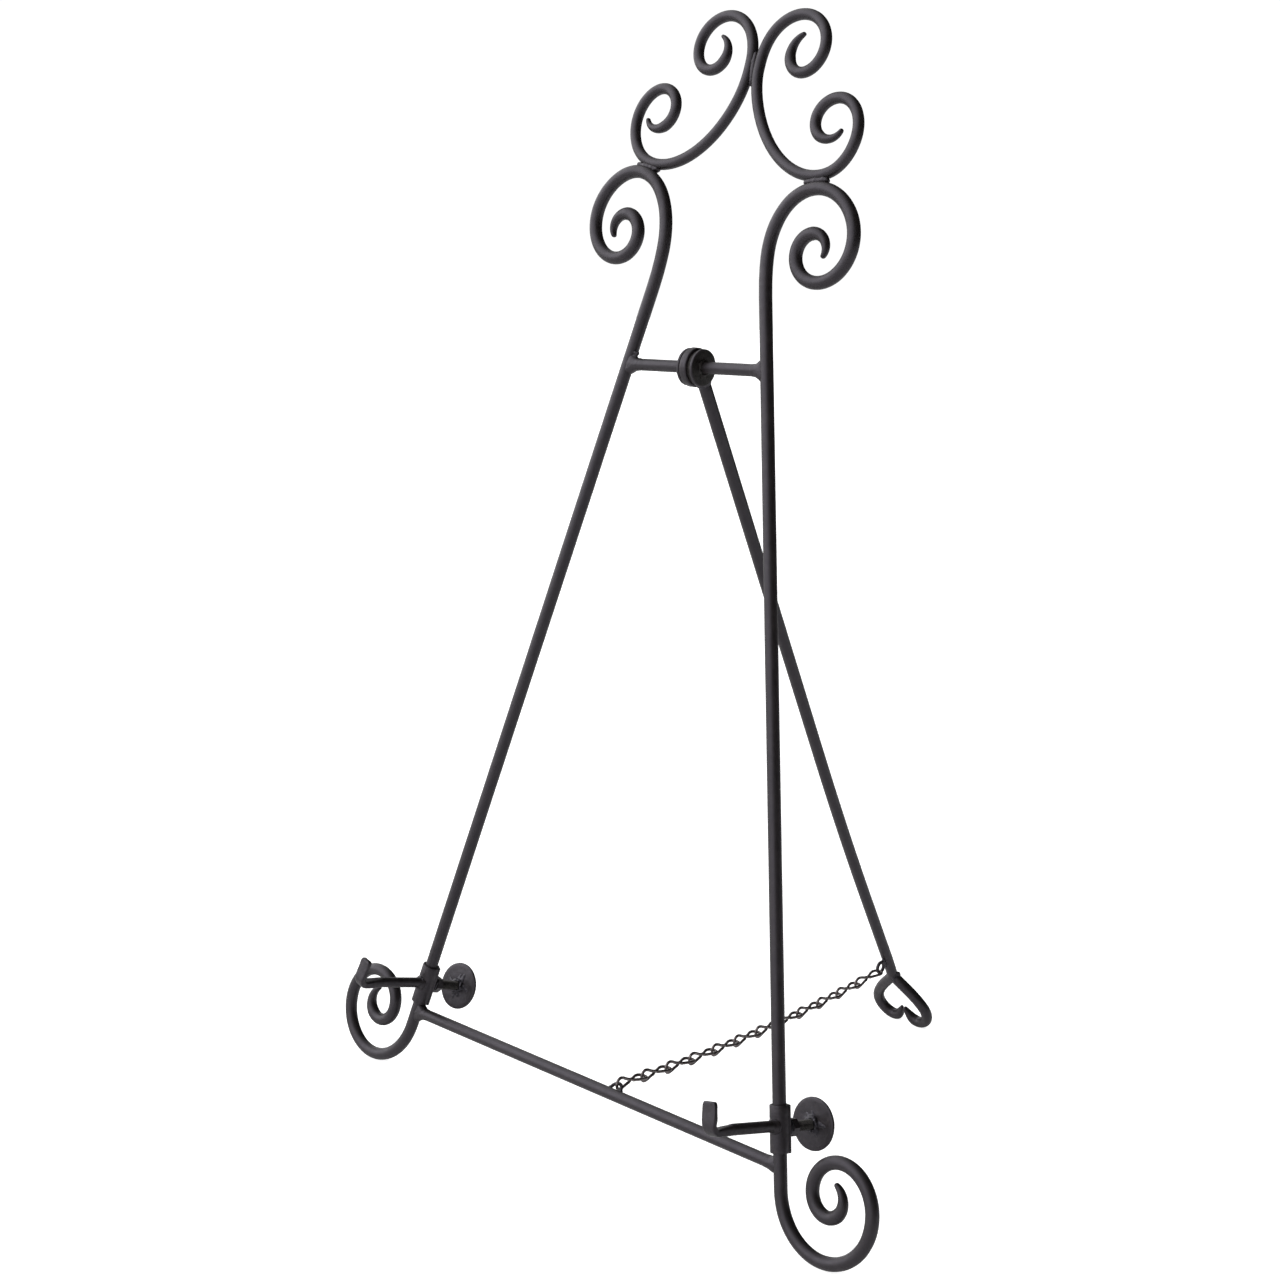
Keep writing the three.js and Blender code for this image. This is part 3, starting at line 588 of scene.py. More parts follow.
def weld_bead(name, lumps, matrix, body, nodes, voxel, smoothing=5, rough=0.22, material=None):
    """A weld bead: lumps of (centre, radius) run together by a voxel remesh, then softened and roughened."""
    bm = bmesh.new()
    for centre, radius in lumps:
        made = bmesh.ops.create_icosphere(bm, subdivisions=2, radius=radius)
        bmesh.ops.translate(bm, verts=made["verts"], vec=centre)
    mesh = bpy.data.meshes.new(name + "_lumps")
    bm.to_mesh(mesh)
    bm.free()
    blob = bpy.data.objects.new(name + "_lumps", mesh)
    bpy.context.scene.collection.objects.link(blob)
    remesh = blob.modifiers.new("run", "REMESH")
    remesh.mode = "VOXEL"
    remesh.voxel_size = voxel
    soften = blob.modifiers.new("soften", "SMOOTH")
    soften.factor = 0.6
    soften.iterations = smoothing
    graph = bpy.context.evaluated_depsgraph_get()
    final = bpy.data.meshes.new_from_object(blob.evaluated_get(graph))
    bm = bmesh.new()
    bm.from_mesh(final)
    bm.normal_update()
    for v in bm.verts:
        v.co += v.normal * rough * noise.noise(v.co * 0.8)
    bpy.data.objects.remove(blob)
    bpy.data.meshes.remove(mesh)
    bpy.data.meshes.remove(final)
    finish_piece(name, bm, matrix, material or WELD, body, nodes, smooth_angle=80)


# ---------- Front legs and crest scrolls ----------
def on_side(points, sign):
    return [Vector((sign * p.x, 0, p.y)) for p in points]


LEG_PATHS = {}
CREST_PATHS = {}
contact = (CREST_ROD + CREST_HALF_GAP, CREST_CONTACT_HEIGHT - CREST_LEAN_HEIGHT)
tilt = shifted(0, 0, CREST_LEAN_HEIGHT) @ rotated(-CREST_LEAN, "X")
for side, sign in SIDES.items():
    foot = follow_bends((leg_at(0), 0), -90 + LEG_ANGLE, *FOOT_BENDS[side], 1)
    neck = follow_bends((leg_at(STRAIGHT_TOP), STRAIGHT_TOP), 90 + LEG_ANGLE, *NECK_BENDS[side], -1)
    LEG_PATHS[side] = on_side(list(reversed(foot[1:])) + neck, sign)
    upper = follow_bends(contact, 90, *CREST_UPPER_BENDS[side], -1)
    lower = follow_bends(contact, -90, *CREST_LOWER_BENDS[side], 1)
    CREST_PATHS[side] = [tilt @ p for p in on_side(list(reversed(lower[1:])) + upper, sign)]
    for name, path, radius, node, tip, sides in (
        ("_leg", LEG_PATHS[side], LEG_ROD, "_leg_rod", LEG_TIP, 24),
        ("_crest", CREST_PATHS[side], CREST_ROD, "_crest_scroll", CREST_TIP, 22),
    ):
        rod(side + name, path, radius, FRAME, "frame", [side + node], tip, tip, sides)


def closest(path_a, path_b):
    """The numbers of the two points where the paths come nearest to each other."""
    return min(((a - b).length, i, j) for i, a in enumerate(path_a) for j, b in enumerate(path_b))[1:]


def along_contact(name, path_a, radius_a, path_b, radius_b, reach, lump, node):
    """A slim fillet in the valley where two rods pass each other, with one rough lump near its end."""
    i, j = closest(path_a, path_b)
    centre_a, centre_b = path_a[i], path_b[j]
    across = (centre_b - centre_a).normalized()
    middle = centre_a + across * (radius_a + ((centre_b - centre_a).length - radius_a - radius_b) / 2)
    out = Vector((0, 1, 0))
    out = (out - across * out.dot(across)).normalized()
    run = across.cross(out)
    if 2 * run.x < run.z:
        run = -run
    lumps = []
    steps = 13
    for k in range(steps):
        t = -1 + 2 * k / (steps - 1)
        swell = 1 - 0.3 * t * t
        shift = run * (t * reach + draw.uniform(-0.25, 0.25))
        for face in (-1, 1):
            spot = middle + shift + out * face * draw.uniform(0.5, 0.8)
            lumps.append((spot, 1.75 * swell + draw.uniform(-0.1, 0.1)))
        lumps.append((middle + shift, 1.9 * swell))
    for k in range(6):
        spot = run * (reach * 0.8 + draw.uniform(-0.8, 0.8)) + out * draw.uniform(-1.3, 1.3)
        spot += across * draw.uniform(-0.9, 0.9)
        lumps.append((middle + spot, lump * draw.uniform(0.75, 1.1)))
    weld_bead(name, lumps, FRAME, "frame", [node], BEAD_VOXEL, 9, 0.07, COAT)


draw = random.Random(7)
left, right = CREST_PATHS["left"], CREST_PATHS["right"]
along_contact("crest_centre_bead", left, CREST_ROD, right, CREST_ROD, 7.0, 1.2, "crest_centre_weld")
for side in SIDES:
    high_leg = [p for p in LEG_PATHS[side] if p.z > CREST_LEAN_HEIGHT]
    crest, node = CREST_PATHS[side], side + "_crest_weld"
    along_contact(side + "_crest_bead", high_leg, LEG_ROD, crest, CREST_ROD, 6.2, 1.35, node)


# ---------- Crossbars and their ring welds ----------
def crossbar(name, heights, flares, chunks):
    """A bar between the legs, flared smoothly at both ends; chunks are sides with a rough upper corner."""
    ends = {s: Vector((sign * leg_at(heights[s]), 0, heights[s])) for s, sign in SIDES.items()}
    rod(name + "_bar", [ends["left"], ends["right"]], BAR_ROD, FRAME, "frame", [name], sides=22)
    for side, sign in SIDES.items():
        along_leg = Vector((-sign * LEG_CONVERGENCE, 0, 1)).normalized()
        inward = (ends["left"] + ends["right"] - ends[side] * 2).normalized()
        lumps = []
        for step in range(8):
            away = 2.2 + 0.8 * step
            spread = flares[side] * max(0.0, (7.6 - away) / 5.4) ** 2
            for k in range(-2, 3):
                up = spread * k / 2 + draw.uniform(-0.12, 0.12)
                centre = ends[side] + inward * away + along_leg * up
                lumps.append((centre, BAR_ROD + 0.22 - 0.3 * abs(k) * spread / 6.8))
        if side in chunks:
            corner = ends[side] + along_leg * 5.2 + inward * (LEG_ROD + 0.9)
            for k in range(6):
                jitter = Vector((draw.uniform(-0.8, 0.8), draw.uniform(-1.5, 0.6), draw.uniform(-0.8, 0.8)))
                lumps.append((corner + jitter, draw.uniform(0.7, 1.15)))
        end = name + "_" + side
        weld_bead(end + "_bead", lumps, FRAME, "frame", [end + "_weld"], BEAD_VOXEL, 9, 0.08, COAT)


crossbar("lower_crossbar", LOWER_BAR_HEIGHTS, {"left": 2.8, "right": 1.3}, ())
crossbar("hinge_crossbar", HINGE_BAR_HEIGHTS, {"left": 2.4, "right": 2.6}, ("left",))

# ---------- Hinge: stop washers on the bar, barrel on the back leg ----------
def ring_profile(bore, outer, half, edge):
    """Section of a flat ring with rounded outer edges."""
    section = [(bore, -half), (outer - edge, -half)]
    for k in range(1, 5):
        a = math.pi / 2 * k / 4
        section.append((outer - edge + edge * math.sin(a), -half + edge - edge * math.cos(a)))
    for k in range(0, 5):
        a = math.pi / 2 * k / 4
        section.append((outer - edge + edge * math.cos(a), half - edge + edge * math.sin(a)))
    section.append((bore, half))
    return section


washer_plane = BARREL_WIDTH / 2 + SIDE_PLAY + WASHER_THICKNESS / 2
for side, sign in SIDES.items():
    face = sign * (washer_plane + WASHER_THICKNESS / 2)
    full = ring_profile(WASHER_BORE, WASHER_RADIUS, WASHER_THICKNESS / 2, 0.45)
    scale = ring_profile(WASHER_BORE, WASHER_RADIUS - 0.75, 0.16, 0.1)
    for name, profile, plane, material, nodes in (
        ("_washer", full, sign * washer_plane, STEEL, [side + "_stop_washer"]),
        ("_washer_face", scale, face, SCORCHED, []),
    ):
        place = FRAME @ shifted(plane, 0, HINGE_HEIGHT) @ AROUND_BAR
        turned(side + name, profile, place, material, "frame", nodes, 48, 0.14)
    lumps = []
    for angle in full_turn(18):
        spread = draw.uniform(3.0, 3.7)
        out = face + sign * draw.uniform(-0.1, 0.5)
        at = Vector((out, spread * math.cos(angle), HINGE_HEIGHT + spread * math.sin(angle)))
        lumps.append((at, draw.uniform(0.75, 1.1)))
    for k in range(7):
        angle = 2 * math.pi * (k + draw.uniform(-0.3, 0.3)) / 7
        reach = draw.uniform(5.2, 7.4)
        for j in range(5):
            spread = 3.6 + (reach - 3.6) * j / 4
            height = HINGE_HEIGHT + spread * math.sin(angle)
            at = Vector((face - sign * 0.35, spread * math.cos(angle), height))
            lumps.append((at, draw.uniform(0.75, 1.0) * (1.05 - 0.1 * j)))
    tack = side + "_washer_tack"
    weld_bead(tack, lumps, FRAME, "frame", [], voxel=FINE_VOXEL, smoothing=3, material=SCORCHED)

collar = ring_profile(BARREL_BORE, BARREL_RADIUS, (BARREL_WIDTH - GROOVE_WIDTH) / 2, 0.8)
place = BACK_LEG @ shifted(-GROOVE_WIDTH / 2, 0, 0) @ AROUND_BAR
turned("hinge_collar", collar, place, STEEL, "back_leg", ["hinge_barrel"], 56, 0.1)
groove = ring_profile(BARREL_BORE, BARREL_RADIUS - GROOVE_DEPTH, GROOVE_WIDTH / 2, 0.2)
place = BACK_LEG @ shifted((BARREL_WIDTH - GROOVE_WIDTH) / 2, 0, 0) @ AROUND_BAR
turned("hinge_collar_groove", groove, place, SCORCHED, "back_leg", [], 56, 0.1)

# ---------- Back leg, drawn hanging down from the hinge ----------
def leg_offset(distance):
    """How far the leg's centre line stands behind the straight line from the axis to the eye."""
    knee, blend = LEG_BOW_DISTANCE, 55.0
    upper_slope = (-LEG_BOW - LEG_TOP_OFFSET) / (knee - BARREL_RADIUS)
    lower_slope = LEG_BOW / (EYE_DISTANCE - knee)
    t = (distance - knee) / blend
    if t <= -1:
        return -LEG_BOW + upper_slope * (distance - knee)
    if t >= 1:
        return -LEG_BOW + lower_slope * (distance - knee)
    mean, half = (upper_slope + lower_slope) / 2, (lower_slope - upper_slope) / 2
    return -LEG_BOW + mean * (distance - knee) + half * blend * (t * t + 1) / 2


bend = follow_bends((0, -HEART_BEND_START), -90, 0, [HEART_BEND_RADIUS] * 2, [HEART_SPREAD], -1)
lobe = follow_bends(bend[-1], -90 - HEART_SPREAD, HEART_STRAIGHT, HEART_RADII, HEART_TURNS, 1)
tail_heading = math.radians(sum(HEART_TURNS) - 90 - HEART_SPREAD)
lobe.append(lobe[-1] + HEART_TAIL * Vector((math.cos(tail_heading), math.sin(tail_heading))))
leg_line = []
down = BARREL_RADIUS - 1.2
while down < EYE_DISTANCE:
    leg_line.append(Vector((0, leg_offset(down), -down)))
    down += 8.0
leg_line.append(Vector((0, 0, -EYE_DISTANCE)))
back_path = leg_line + in_plane(bend + lobe[1:])
tip = HEART_TIP_LENGTH
rod("back_leg_bar", back_path, LEG_ROD, BACK_LEG, "back_leg", ["back_leg_rod"], 0, tip, sides=24)
right_lobe = mirrored(in_plane(lobe))
rod("heart_lobe", right_lobe, LEG_ROD, BACK_LEG, "back_leg", ["heart_right_lobe"], 0, tip, sides=24)

lumps = []
fork = Vector((2.2, 0, bend[-1].y + 1.0))
for k in range(26):
    angle = math.pi * (0.15 + 1.7 * k / 25)
    ring = Vector((0.3 + 0.8 * math.sin(angle * 2), 2.4 * math.cos(angle), 3.8 * math.sin(angle)))
    lumps.append((fork + ring, draw.uniform(0.9, 1.3)))
lumps.append((fork, 2.5))
weld_bead("heart_bead", lumps, BACK_LEG, "back_leg", ["heart_weld"], voxel=BEAD_VOXEL, rough=0.18)

lumps = []
for angle in full_turn(22):
    low = -BARREL_RADIUS - 0.9 + 0.55 * abs(math.cos(angle))
    spot = Vector((2.6 * math.cos(angle), LEG_TOP_OFFSET + 2.9 * math.sin(angle), low))
    lumps.append((spot, draw.uniform(1.0, 1.4)))
weld_bead("collar_bead", lumps, BACK_LEG, "back_leg", ["barrel_weld"], voxel=BEAD_VOXEL, rough=0.18)

eye_points = []
for angle in full_turn(36):
    y = -EYE_STANDOFF + EYE_RADIUS * math.cos(angle)
    eye_points.append(Vector((0, y, -EYE_DISTANCE + EYE_RADIUS * math.sin(angle))))
wire_ring("chain_eye", eye_points, EYE_WIRE, 14, BACK_LEG, STEEL, "back_leg", "leg_eye", 35)
lumps = []
for k in range(9):
    t = -1 + k / 4
    spot = Vector((draw.uniform(-0.3, 0.3), -LEG_ROD - 0.25, -EYE_DISTANCE + 2.6 * t))
    lumps.append((spot, 1.35 - 0.35 * t * t))
weld_bead("chain_eye_bead", lumps, BACK_LEG, "back_leg", [], voxel=FINE_VOXEL, smoothing=3)

# ---------- Chain staple and chain ----------
staple_out = Vector((0, 1, 1)).normalized()
staple_share = (STAPLE_OFFSET + LEG_HALF_SPACING) / (2 * LEG_HALF_SPACING)
left_height, right_height = LOWER_BAR_HEIGHTS["left"], LOWER_BAR_HEIGHTS["right"]
staple_height = left_height + (right_height - left_height) * staple_share
staple_middle = Vector((STAPLE_OFFSET, 0, staple_height))
staple = []
for k in range(19):
    angle = math.pi * k / 18
    staple.append(
        staple_middle
        - Vector((STAPLE_RADIUS * math.cos(angle), 0, 0))
        + staple_out * (STAPLE_FOOT - 0.6 + (STAPLE_RADIUS + 0.6) * math.sin(angle))
    )
rod("staple_wire", staple, STAPLE_WIRE, FRAME, "frame", ["chain_staple"], sides=14, material=STEEL)
lumps = []
for sign in (-1, 1):
    for k in range(6):
        spot = staple_middle + Vector((sign * STAPLE_RADIUS + draw.uniform(-0.9, 0.9), 0, 0))
        lumps.append((spot + staple_out * draw.uniform(2.6, 3.2), draw.uniform(0.8, 1.15)))
weld_bead("staple_bead", lumps, FRAME, "frame", [], voxel=FINE_VOXEL, smoothing=3)


def swell(a):
    """Half the width of a lobe on its way out, round the crown (at pi) and back."""
    greatest = 0.325  # of the product of sine and cosine below
    return LOBE_HALF_WIDTH / greatest * abs(math.sin(a / 2)) ** 3 * math.cos(a / 2)


def figure_eight(step, reach_past=0.0):
    """One link's wire along +Y: an upright lobe at the pivot, a waist twisted a quarter turn, a flat lobe."""
    near, far = -CROWN_OFFSET, step + reach_past
    waist = (near + far) / 2
    gap = CHAIN_WIRE + WAIST_CLEARANCE
    points = []
    for a in full_turn(LOBE_POINTS):
        y = waist - WAIST_HALF_LENGTH - (waist - WAIST_HALF_LENGTH - near) * (1 - math.cos(a)) / 2
        points.append(Vector((0, y, swell(a) + gap * math.cos(a / 2))))
    for k in range(WAIST_POINTS):
        turn = math.pi / 2 * k / WAIST_POINTS
        y = waist - WAIST_HALF_LENGTH + 2 * WAIST_HALF_LENGTH * k / WAIST_POINTS
        points.append(Vector((-gap * math.sin(turn), y, -gap * math.cos(turn))))
    for a in full_turn(LOBE_POINTS):
        y = waist + WAIST_HALF_LENGTH + (far - waist - WAIST_HALF_LENGTH) * (1 - math.cos(a)) / 2
        points.append(Vector((-swell(a) - gap * math.cos(a / 2), y, 0)))
    for k in range(WAIST_POINTS):
        turn = math.pi / 2 * k / WAIST_POINTS
        y = waist + WAIST_HALF_LENGTH - 2 * WAIST_HALF_LENGTH * k / WAIST_POINTS
        points.append(Vector((gap * math.cos(turn), y, gap * math.sin(turn))))
    return points


CROWN_OFFSET = 2 * CHAIN_WIRE + CHAIN_PLAY
to_drawing = FRAME.inverted()
eye_front = Vector((0, -EYE_STANDOFF - EYE_RADIUS - EYE_WIRE - CHAIN_WIRE - CHAIN_PLAY, -EYE_DISTANCE))
chain_end = to_drawing @ (BACK_LEG @ eye_front)
crown = staple_middle + staple_out * (STAPLE_FOOT + STAPLE_RADIUS)
span = chain_end - crown
rise = math.atan2(span.z, span.y)
yaw = math.atan2(-span.x, math.hypot(span.y, span.z))
sag_slope = 4 * CHAIN_SAG / span.length
slopes = [sag_slope * (2 * (i + 0.5) / CHAIN_LINKS - 1) for i in range(CHAIN_LINKS)]
run_length = math.hypot(span.y, span.z) / sum(math.cos(slope) for slope in slopes)
link_step = math.hypot(run_length, span.x / CHAIN_LINKS)
EYE_HOOK = 2 * (EYE_WIRE + CHAIN_WIRE) + CHAIN_PLAY + 0.3
for i, slope in enumerate(slopes):
    name = "%02d" % (i + 1)
    pivot = to_drawing @ Vector(JOINTS["chain_pivot_" + name]["pos_m"])
    turn = Matrix.Rotation(rise + slope, 4, "X") @ Matrix.Rotation(yaw, 4, "Z")
    wire = figure_eight(link_step, EYE_HOOK if i == CHAIN_LINKS - 1 else 0.0)
    place = FRAME @ Matrix.Translation(pivot) @ turn
    body, node = "chain_" + name, "chain_link_" + name
    wire_ring("chain_wire_" + name, wire, CHAIN_WIRE, 10, place, CHAIN, body, node, 80)


# ---------- Hooks ----------
def superellipse(half_up, half_wide, power, sides):
    """An outline between an ellipse (power 2) and a rectangle (high powers)."""
    shape = []
    for a in full_turn(sides):
        c, s = math.cos(a), math.sin(a)
        up = math.copysign(abs(c) ** (2 / power), c) * half_up
        shape.append((up, math.copysign(abs(s) ** (2 / power), s) * half_wide))
    return shape


def hook_arm(side, matrix, seed):
    """Round arm with a small step on top, drawn out slowly to the flat lip."""
    strip_middle = -ARM_ROD + STRIP_THICKNESS / 2
    bend_radius = LIP_INNER_RADIUS + STRIP_THICKNESS / 2
    corner = ARM_REACH - STRIP_THICKNESS / 2 - bend_radius - 0.3
    width = HOOK_SET[side]["lip"]

    def flatness(distance):
        step = min(1.0, max(0.0, (distance - STRIP_START + 1.0) / 2.4))
        slow = min(1.0, max(0.0, (distance - STRIP_START) / STRIP_RUN))
        return 0.16 * step * step * (3 - 2 * step) + 0.84 * slow ** 1.6 * (2.2 - 1.2 * slow)

    path = []
    y = SLEEVE_RADIUS - 1.0
    while y < corner:
        path.append(Vector((0, -y, strip_middle * flatness(y))))
        y += 0.8
    turn_height = strip_middle * flatness(corner)
    for k in range(9):
        a = math.pi / 2 * k / 8
        z = turn_height + bend_radius * (1 - math.cos(a))
        path.append(Vector((0, -corner - bend_radius * math.sin(a), z)))
    z = path[-1].z + 0.8
    while z < LIP_HEIGHT - LIP_END:
        path.append(Vector((0, -corner - bend_radius, z)))
        z += 0.8
    path.append(Vector((0, -corner - bend_radius, LIP_HEIGHT - LIP_END)))
    offset = Vector((seed * 31.0, seed * 17.0, 0))

    def section(i, s, total):
        ease = flatness(s + SLEEVE_RADIUS - 1.0)
        up = ARM_ROD + (STRIP_THICKNESS / 2 - ARM_ROD) * ease
        wide = ARM_ROD + (width / 2 - ARM_ROD) * ease * ease
        cropped = max(0.0, 1 - (total - s) / 1.6)
        wide *= 1 - LIP_CROP * cropped * cropped
        beaten = 1 + ease * 0.09 * noise.noise(path[i] * 0.28 + offset)
        neck = 1 + 0.5 * math.exp(-((s / 1.6) ** 2))
        outline = []
        for a, b in superellipse(up, wide, 2 + 4.5 * ease, 40):
            dent = ease * 0.14 * noise.noise(Vector((a * 0.5, b * 0.45, s * 0.35)) + offset)
            outline.append((a * beaten * neck + dent, b * beaten * neck))
        return outline

    bm = bmesh.new()
    add_tube(bm, path, section, first_normal=Vector((1, 0, 0)), end_reach=LIP_END)
    finish_piece(side + "_arm", bm, matrix, STEEL, side + "_hook", [side + "_hook_arm"], smooth_angle=50)


def sleeve(side, matrix):
    """A sheet rolled round the leg, with the ridge of its closed seam beside the nut."""
    segments = 96
    half = SLEEVE_LENGTH / 2

    def outer(angle, inset):
        from_back = math.degrees(math.atan2(math.cos(angle), math.sin(angle)))
        from_seam = from_back - SLEEVE_SEAM_ANGLE
        ridge = 0.8 / (1 + math.exp((abs(from_seam) - 12) / 2.4))
        groove = 0.45 * math.exp(-(((from_seam + 4) / 2.6) ** 2))
        return SLEEVE_RADIUS + ridge - groove - inset

    levels = [(half * t, 0.0) for t in (-0.97, -0.6, -0.2, 0.2, 0.6, 0.97)]
    levels = [(-half, 0.3), (-half + 0.1, 0.1)] + levels + [(half - 0.1, 0.1), (half, 0.3)]
    bm = bmesh.new()
    rings = []
    for z, inset in levels:
        ring = []
        for a in full_turn(segments):
            r = outer(a, inset) + 0.07 * noise.noise(Vector((3 * math.cos(a), 3 * math.sin(a), z * 0.3)))
            ring.append(bm.verts.new((r * math.cos(a), r * math.sin(a), z)))
        rings.append(ring)
    for z in (half, -half):
        rings.append(circle_verts(bm, SLEEVE_BORE, z, segments, "Z"))
    join_rings(bm, list(zip(rings, rings[1:])) + [(rings[-1], rings[0])])
    finish_piece(side + "_tube", bm, matrix, STEEL, side + "_hook", [side + "_sleeve"])


def hex_nut(side, matrix):
    """A hexagon nut with chamfered corners and a countersunk mouth."""
    segments = 6 * 8
    flat = NUT_FLATS / 2
    chamfer = (0, 0.12, 0.24, 0.36)
    slope = 1.73
    levels = [(t, flat + slope * t) for t in chamfer]
    levels += [(NUT_THICKNESS / 2, math.inf)]
    levels += [(NUT_THICKNESS - t, flat + slope * t) for t in reversed(chamfer)]
    bm = bmesh.new()
    rings = []
    for y, cone in levels:
        ring = []
        for a in full_turn(segments):
            within = (a % (math.pi / 3)) - math.pi / 6
            r = min(flat / math.cos(within), cone)
            ring.append(bm.verts.new((r * math.cos(a), NUT_FACE + y, r * math.sin(a))))
        rings.append(ring)
    bore = SCREW_RADIUS - 0.1
    for r, y in ((3.0, NUT_THICKNESS), (bore, NUT_THICKNESS - 0.5), (bore, 0)):
        rings.append(circle_verts(bm, r, NUT_FACE + y, segments))
    join_rings(bm, list(zip(rings, rings[1:])) + [(rings[-1], rings[0])])
    finish_piece(side + "_nut", bm, matrix, STEEL, side + "_hook", [side + "_clamp_nut"], smooth_angle=25)


def screw_thread(side, matrix, disc_plane):
    """The thumb screw's stem, with a right-hand M5 thread on all of its length."""
    droop = math.radians(HOOK_SET[side]["droop"])
    start = (LEG_ROD + 0.3) / math.cos(droop) + SCREW_RADIUS * math.tan(droop)
    end = disc_plane - 0.1
    segments = 28
    count = int((end - start) / (SCREW_PITCH / 7))
    bm = bmesh.new()
    rings = []
    for i in range(count + 1):
        y = start + (end - start) * i / count
        ring = []
        for k in range(segments):
            a = 2 * math.pi * k / segments
            phase = (y / SCREW_PITCH + k / segments) % 1.0
            valley = min(1.0, max(0.0, 1.25 * (1 - abs(2 * phase - 1)) - 0.12))
            r = SCREW_RADIUS - SCREW_DEPTH * valley
            ring.append(bm.verts.new((r * math.cos(a), y, r * math.sin(a))))
        rings.append(ring)
    join_rings(bm, zip(rings, rings[1:]))
    bm.faces.new(rings[0])
    bm.faces.new(rings[-1])
    stem = side + "_screw_stem"
    finish_piece(side + "_thread", bm, matrix, THREAD, stem, [stem], smooth_angle=60)


def thumb_disc(side, matrix, disc_plane, seed):
    """A pressed disc with a hammered face and a rounded rim."""
    rings_out = 16
    edge = 0.55
    segments = 72
    offset = Vector((seed * 9.0, 0, seed * 5.0))
    profile = [(0.0, 0.0)]
    for i in range(1, rings_out):
        profile.append((DISC_RADIUS * 0.94 * i / rings_out, 0.0))
    for k in range(7):
        a = math.pi * k / 6
        y = DISC_THICKNESS / 2 - (DISC_THICKNESS / 2 - 0.25) * math.cos(a)
        profile.append((DISC_RADIUS - edge + edge * math.sin(a), y))
    for i in range(rings_out - 1, 0, -1):
        profile.append((DISC_RADIUS * 0.94 * i / rings_out, DISC_THICKNESS))
    profile.append((0.0, DISC_THICKNESS))
    bm = bmesh.new()
    rings = []
    for r, y in profile:
        if r < 1e-6:
            rings.append([bm.verts.new((0, disc_plane + y, 0))])
            continue
        ring = []
        for a in full_turn(segments):
            spot = Vector((r * math.cos(a), 0, r * math.sin(a)))
            beaten = 0.16 * noise.noise(spot * 0.33 + offset) * (1 - (r / DISC_RADIUS) ** 6)
            wide = r * (1 + 0.006 * noise.noise(spot * 0.25 + offset))
            ring.append(bm.verts.new((wide * math.cos(a), disc_plane + y + beaten, wide * math.sin(a))))
        rings.append(ring)
    for a, b in zip(rings, rings[1:]):
        for k in range(segments):
            n = (k + 1) % segments
            if len(a) == 1:
                bm.faces.new((a[0], b[n], b[k]))
            elif len(b) == 1:
                bm.faces.new((a[k], a[n], b[0]))
            else:
                bm.faces.new((a[k], a[n], b[n], b[k]))
    finish_piece(side + "_disc", bm, matrix, STEEL, side + "_thumb_disc", [side + "_thumb_disc"])


def hook_bead(side, place, lumps, matrix, body, nodes):
    weld_bead(side + "_" + place + "_bead", lumps, matrix, body, nodes, voxel=HOOK_VOXEL, smoothing=4)


def disc_bead(side, matrix, disc_plane):
    """The weld between stem and disc: a collar that runs out in soft, uneven points over the disc's face."""
    lumps = []
    for a in full_turn(22):
        r = draw.uniform(2.7, 3.4)
        spot = Vector((r * math.cos(a), disc_plane - draw.uniform(0.3, 1.5), r * math.sin(a)))
        lumps.append((spot, draw.uniform(0.9, 1.3)))
    for k in range(6):
        a = 2 * math.pi * (k + draw.uniform(-0.3, 0.3)) / 6
        reach = draw.uniform(5.4, 8.6)
        swing = draw.uniform(-0.05, 0.05)
        for j in range(8):
            r = 2.6 + (reach - 2.6) * j / 7
            turn = a + swing * j
            size = 1.3 - 0.04 * j + draw.uniform(-0.05, 0.05)
            sink = size - 1.05 * (1 - j / 9)
            for beside in (-0.75, 0.0, 0.75):
                aside = beside * (1 - j / 10)
                x = r * math.cos(turn) - aside * math.sin(turn)
                z = r * math.sin(turn) + aside * math.cos(turn)
                lumps.append((Vector((x, disc_plane + sink, z)), size * (1 - 0.12 * abs(beside))))
    hook_bead(side, "disc", lumps, matrix, side + "_thumb_disc", [side + "_disc_weld"])


def nut_bead(side, matrix):
    """The weld that holds the nut to the back of the sleeve."""
    lumps = []
    for a in full_turn(22):
        r = 3.4 + 0.4 * abs(math.sin(a))
        back = 4.3 + 0.6 * abs(math.sin(a))
        spot = Vector((r * math.cos(a), back + draw.uniform(-0.3, 0.3), r * math.sin(a)))
        lumps.append((spot, draw.uniform(0.85, 1.15)))
    hook_bead(side, "nut", lumps, matrix, side + "_hook", [side + "_nut_weld"])


def arm_bead(side, matrix):
    """The weld round the arm's root on the front of the sleeve."""
    lumps = []
    for a in full_turn(20):
        r = 2.7
        forward = math.sqrt(max(0.0, SLEEVE_RADIUS ** 2 - (r * math.cos(a)) ** 2)) - 0.1
        spot = Vector((r * math.cos(a), -forward - draw.uniform(0, 0.35), r * math.sin(a)))
        lumps.append((spot, draw.uniform(0.75, 1.1)))
    hook_bead(side, "arm", lumps, matrix, side + "_hook", [])


for number, side in enumerate(SIDES):
    hook, screw, disc_plane = HOOKS[side], SCREWS[side], HOOK_SET[side]["disc"]
    hook_arm(side, ARMS[side], number + 1)
    sleeve(side, hook)
    hex_nut(side, screw)
    screw_thread(side, screw, disc_plane)
    thumb_disc(side, screw, disc_plane, number + 1)
    disc_bead(side, screw, disc_plane)
    nut_bead(side, screw)
    arm_bead(side, ARMS[side])

# ---------- Floor, light and camera ----------
# The direction the tent is brightest in, and its strength from the dark side to the bright one
BRIGHT_DIRECTION = (-0.79, -0.61, 0.04)
TENT_RANGE = (-0.25, 0.85, 0.02, 2.1)
BACKDROP_STRENGTH = 1.05
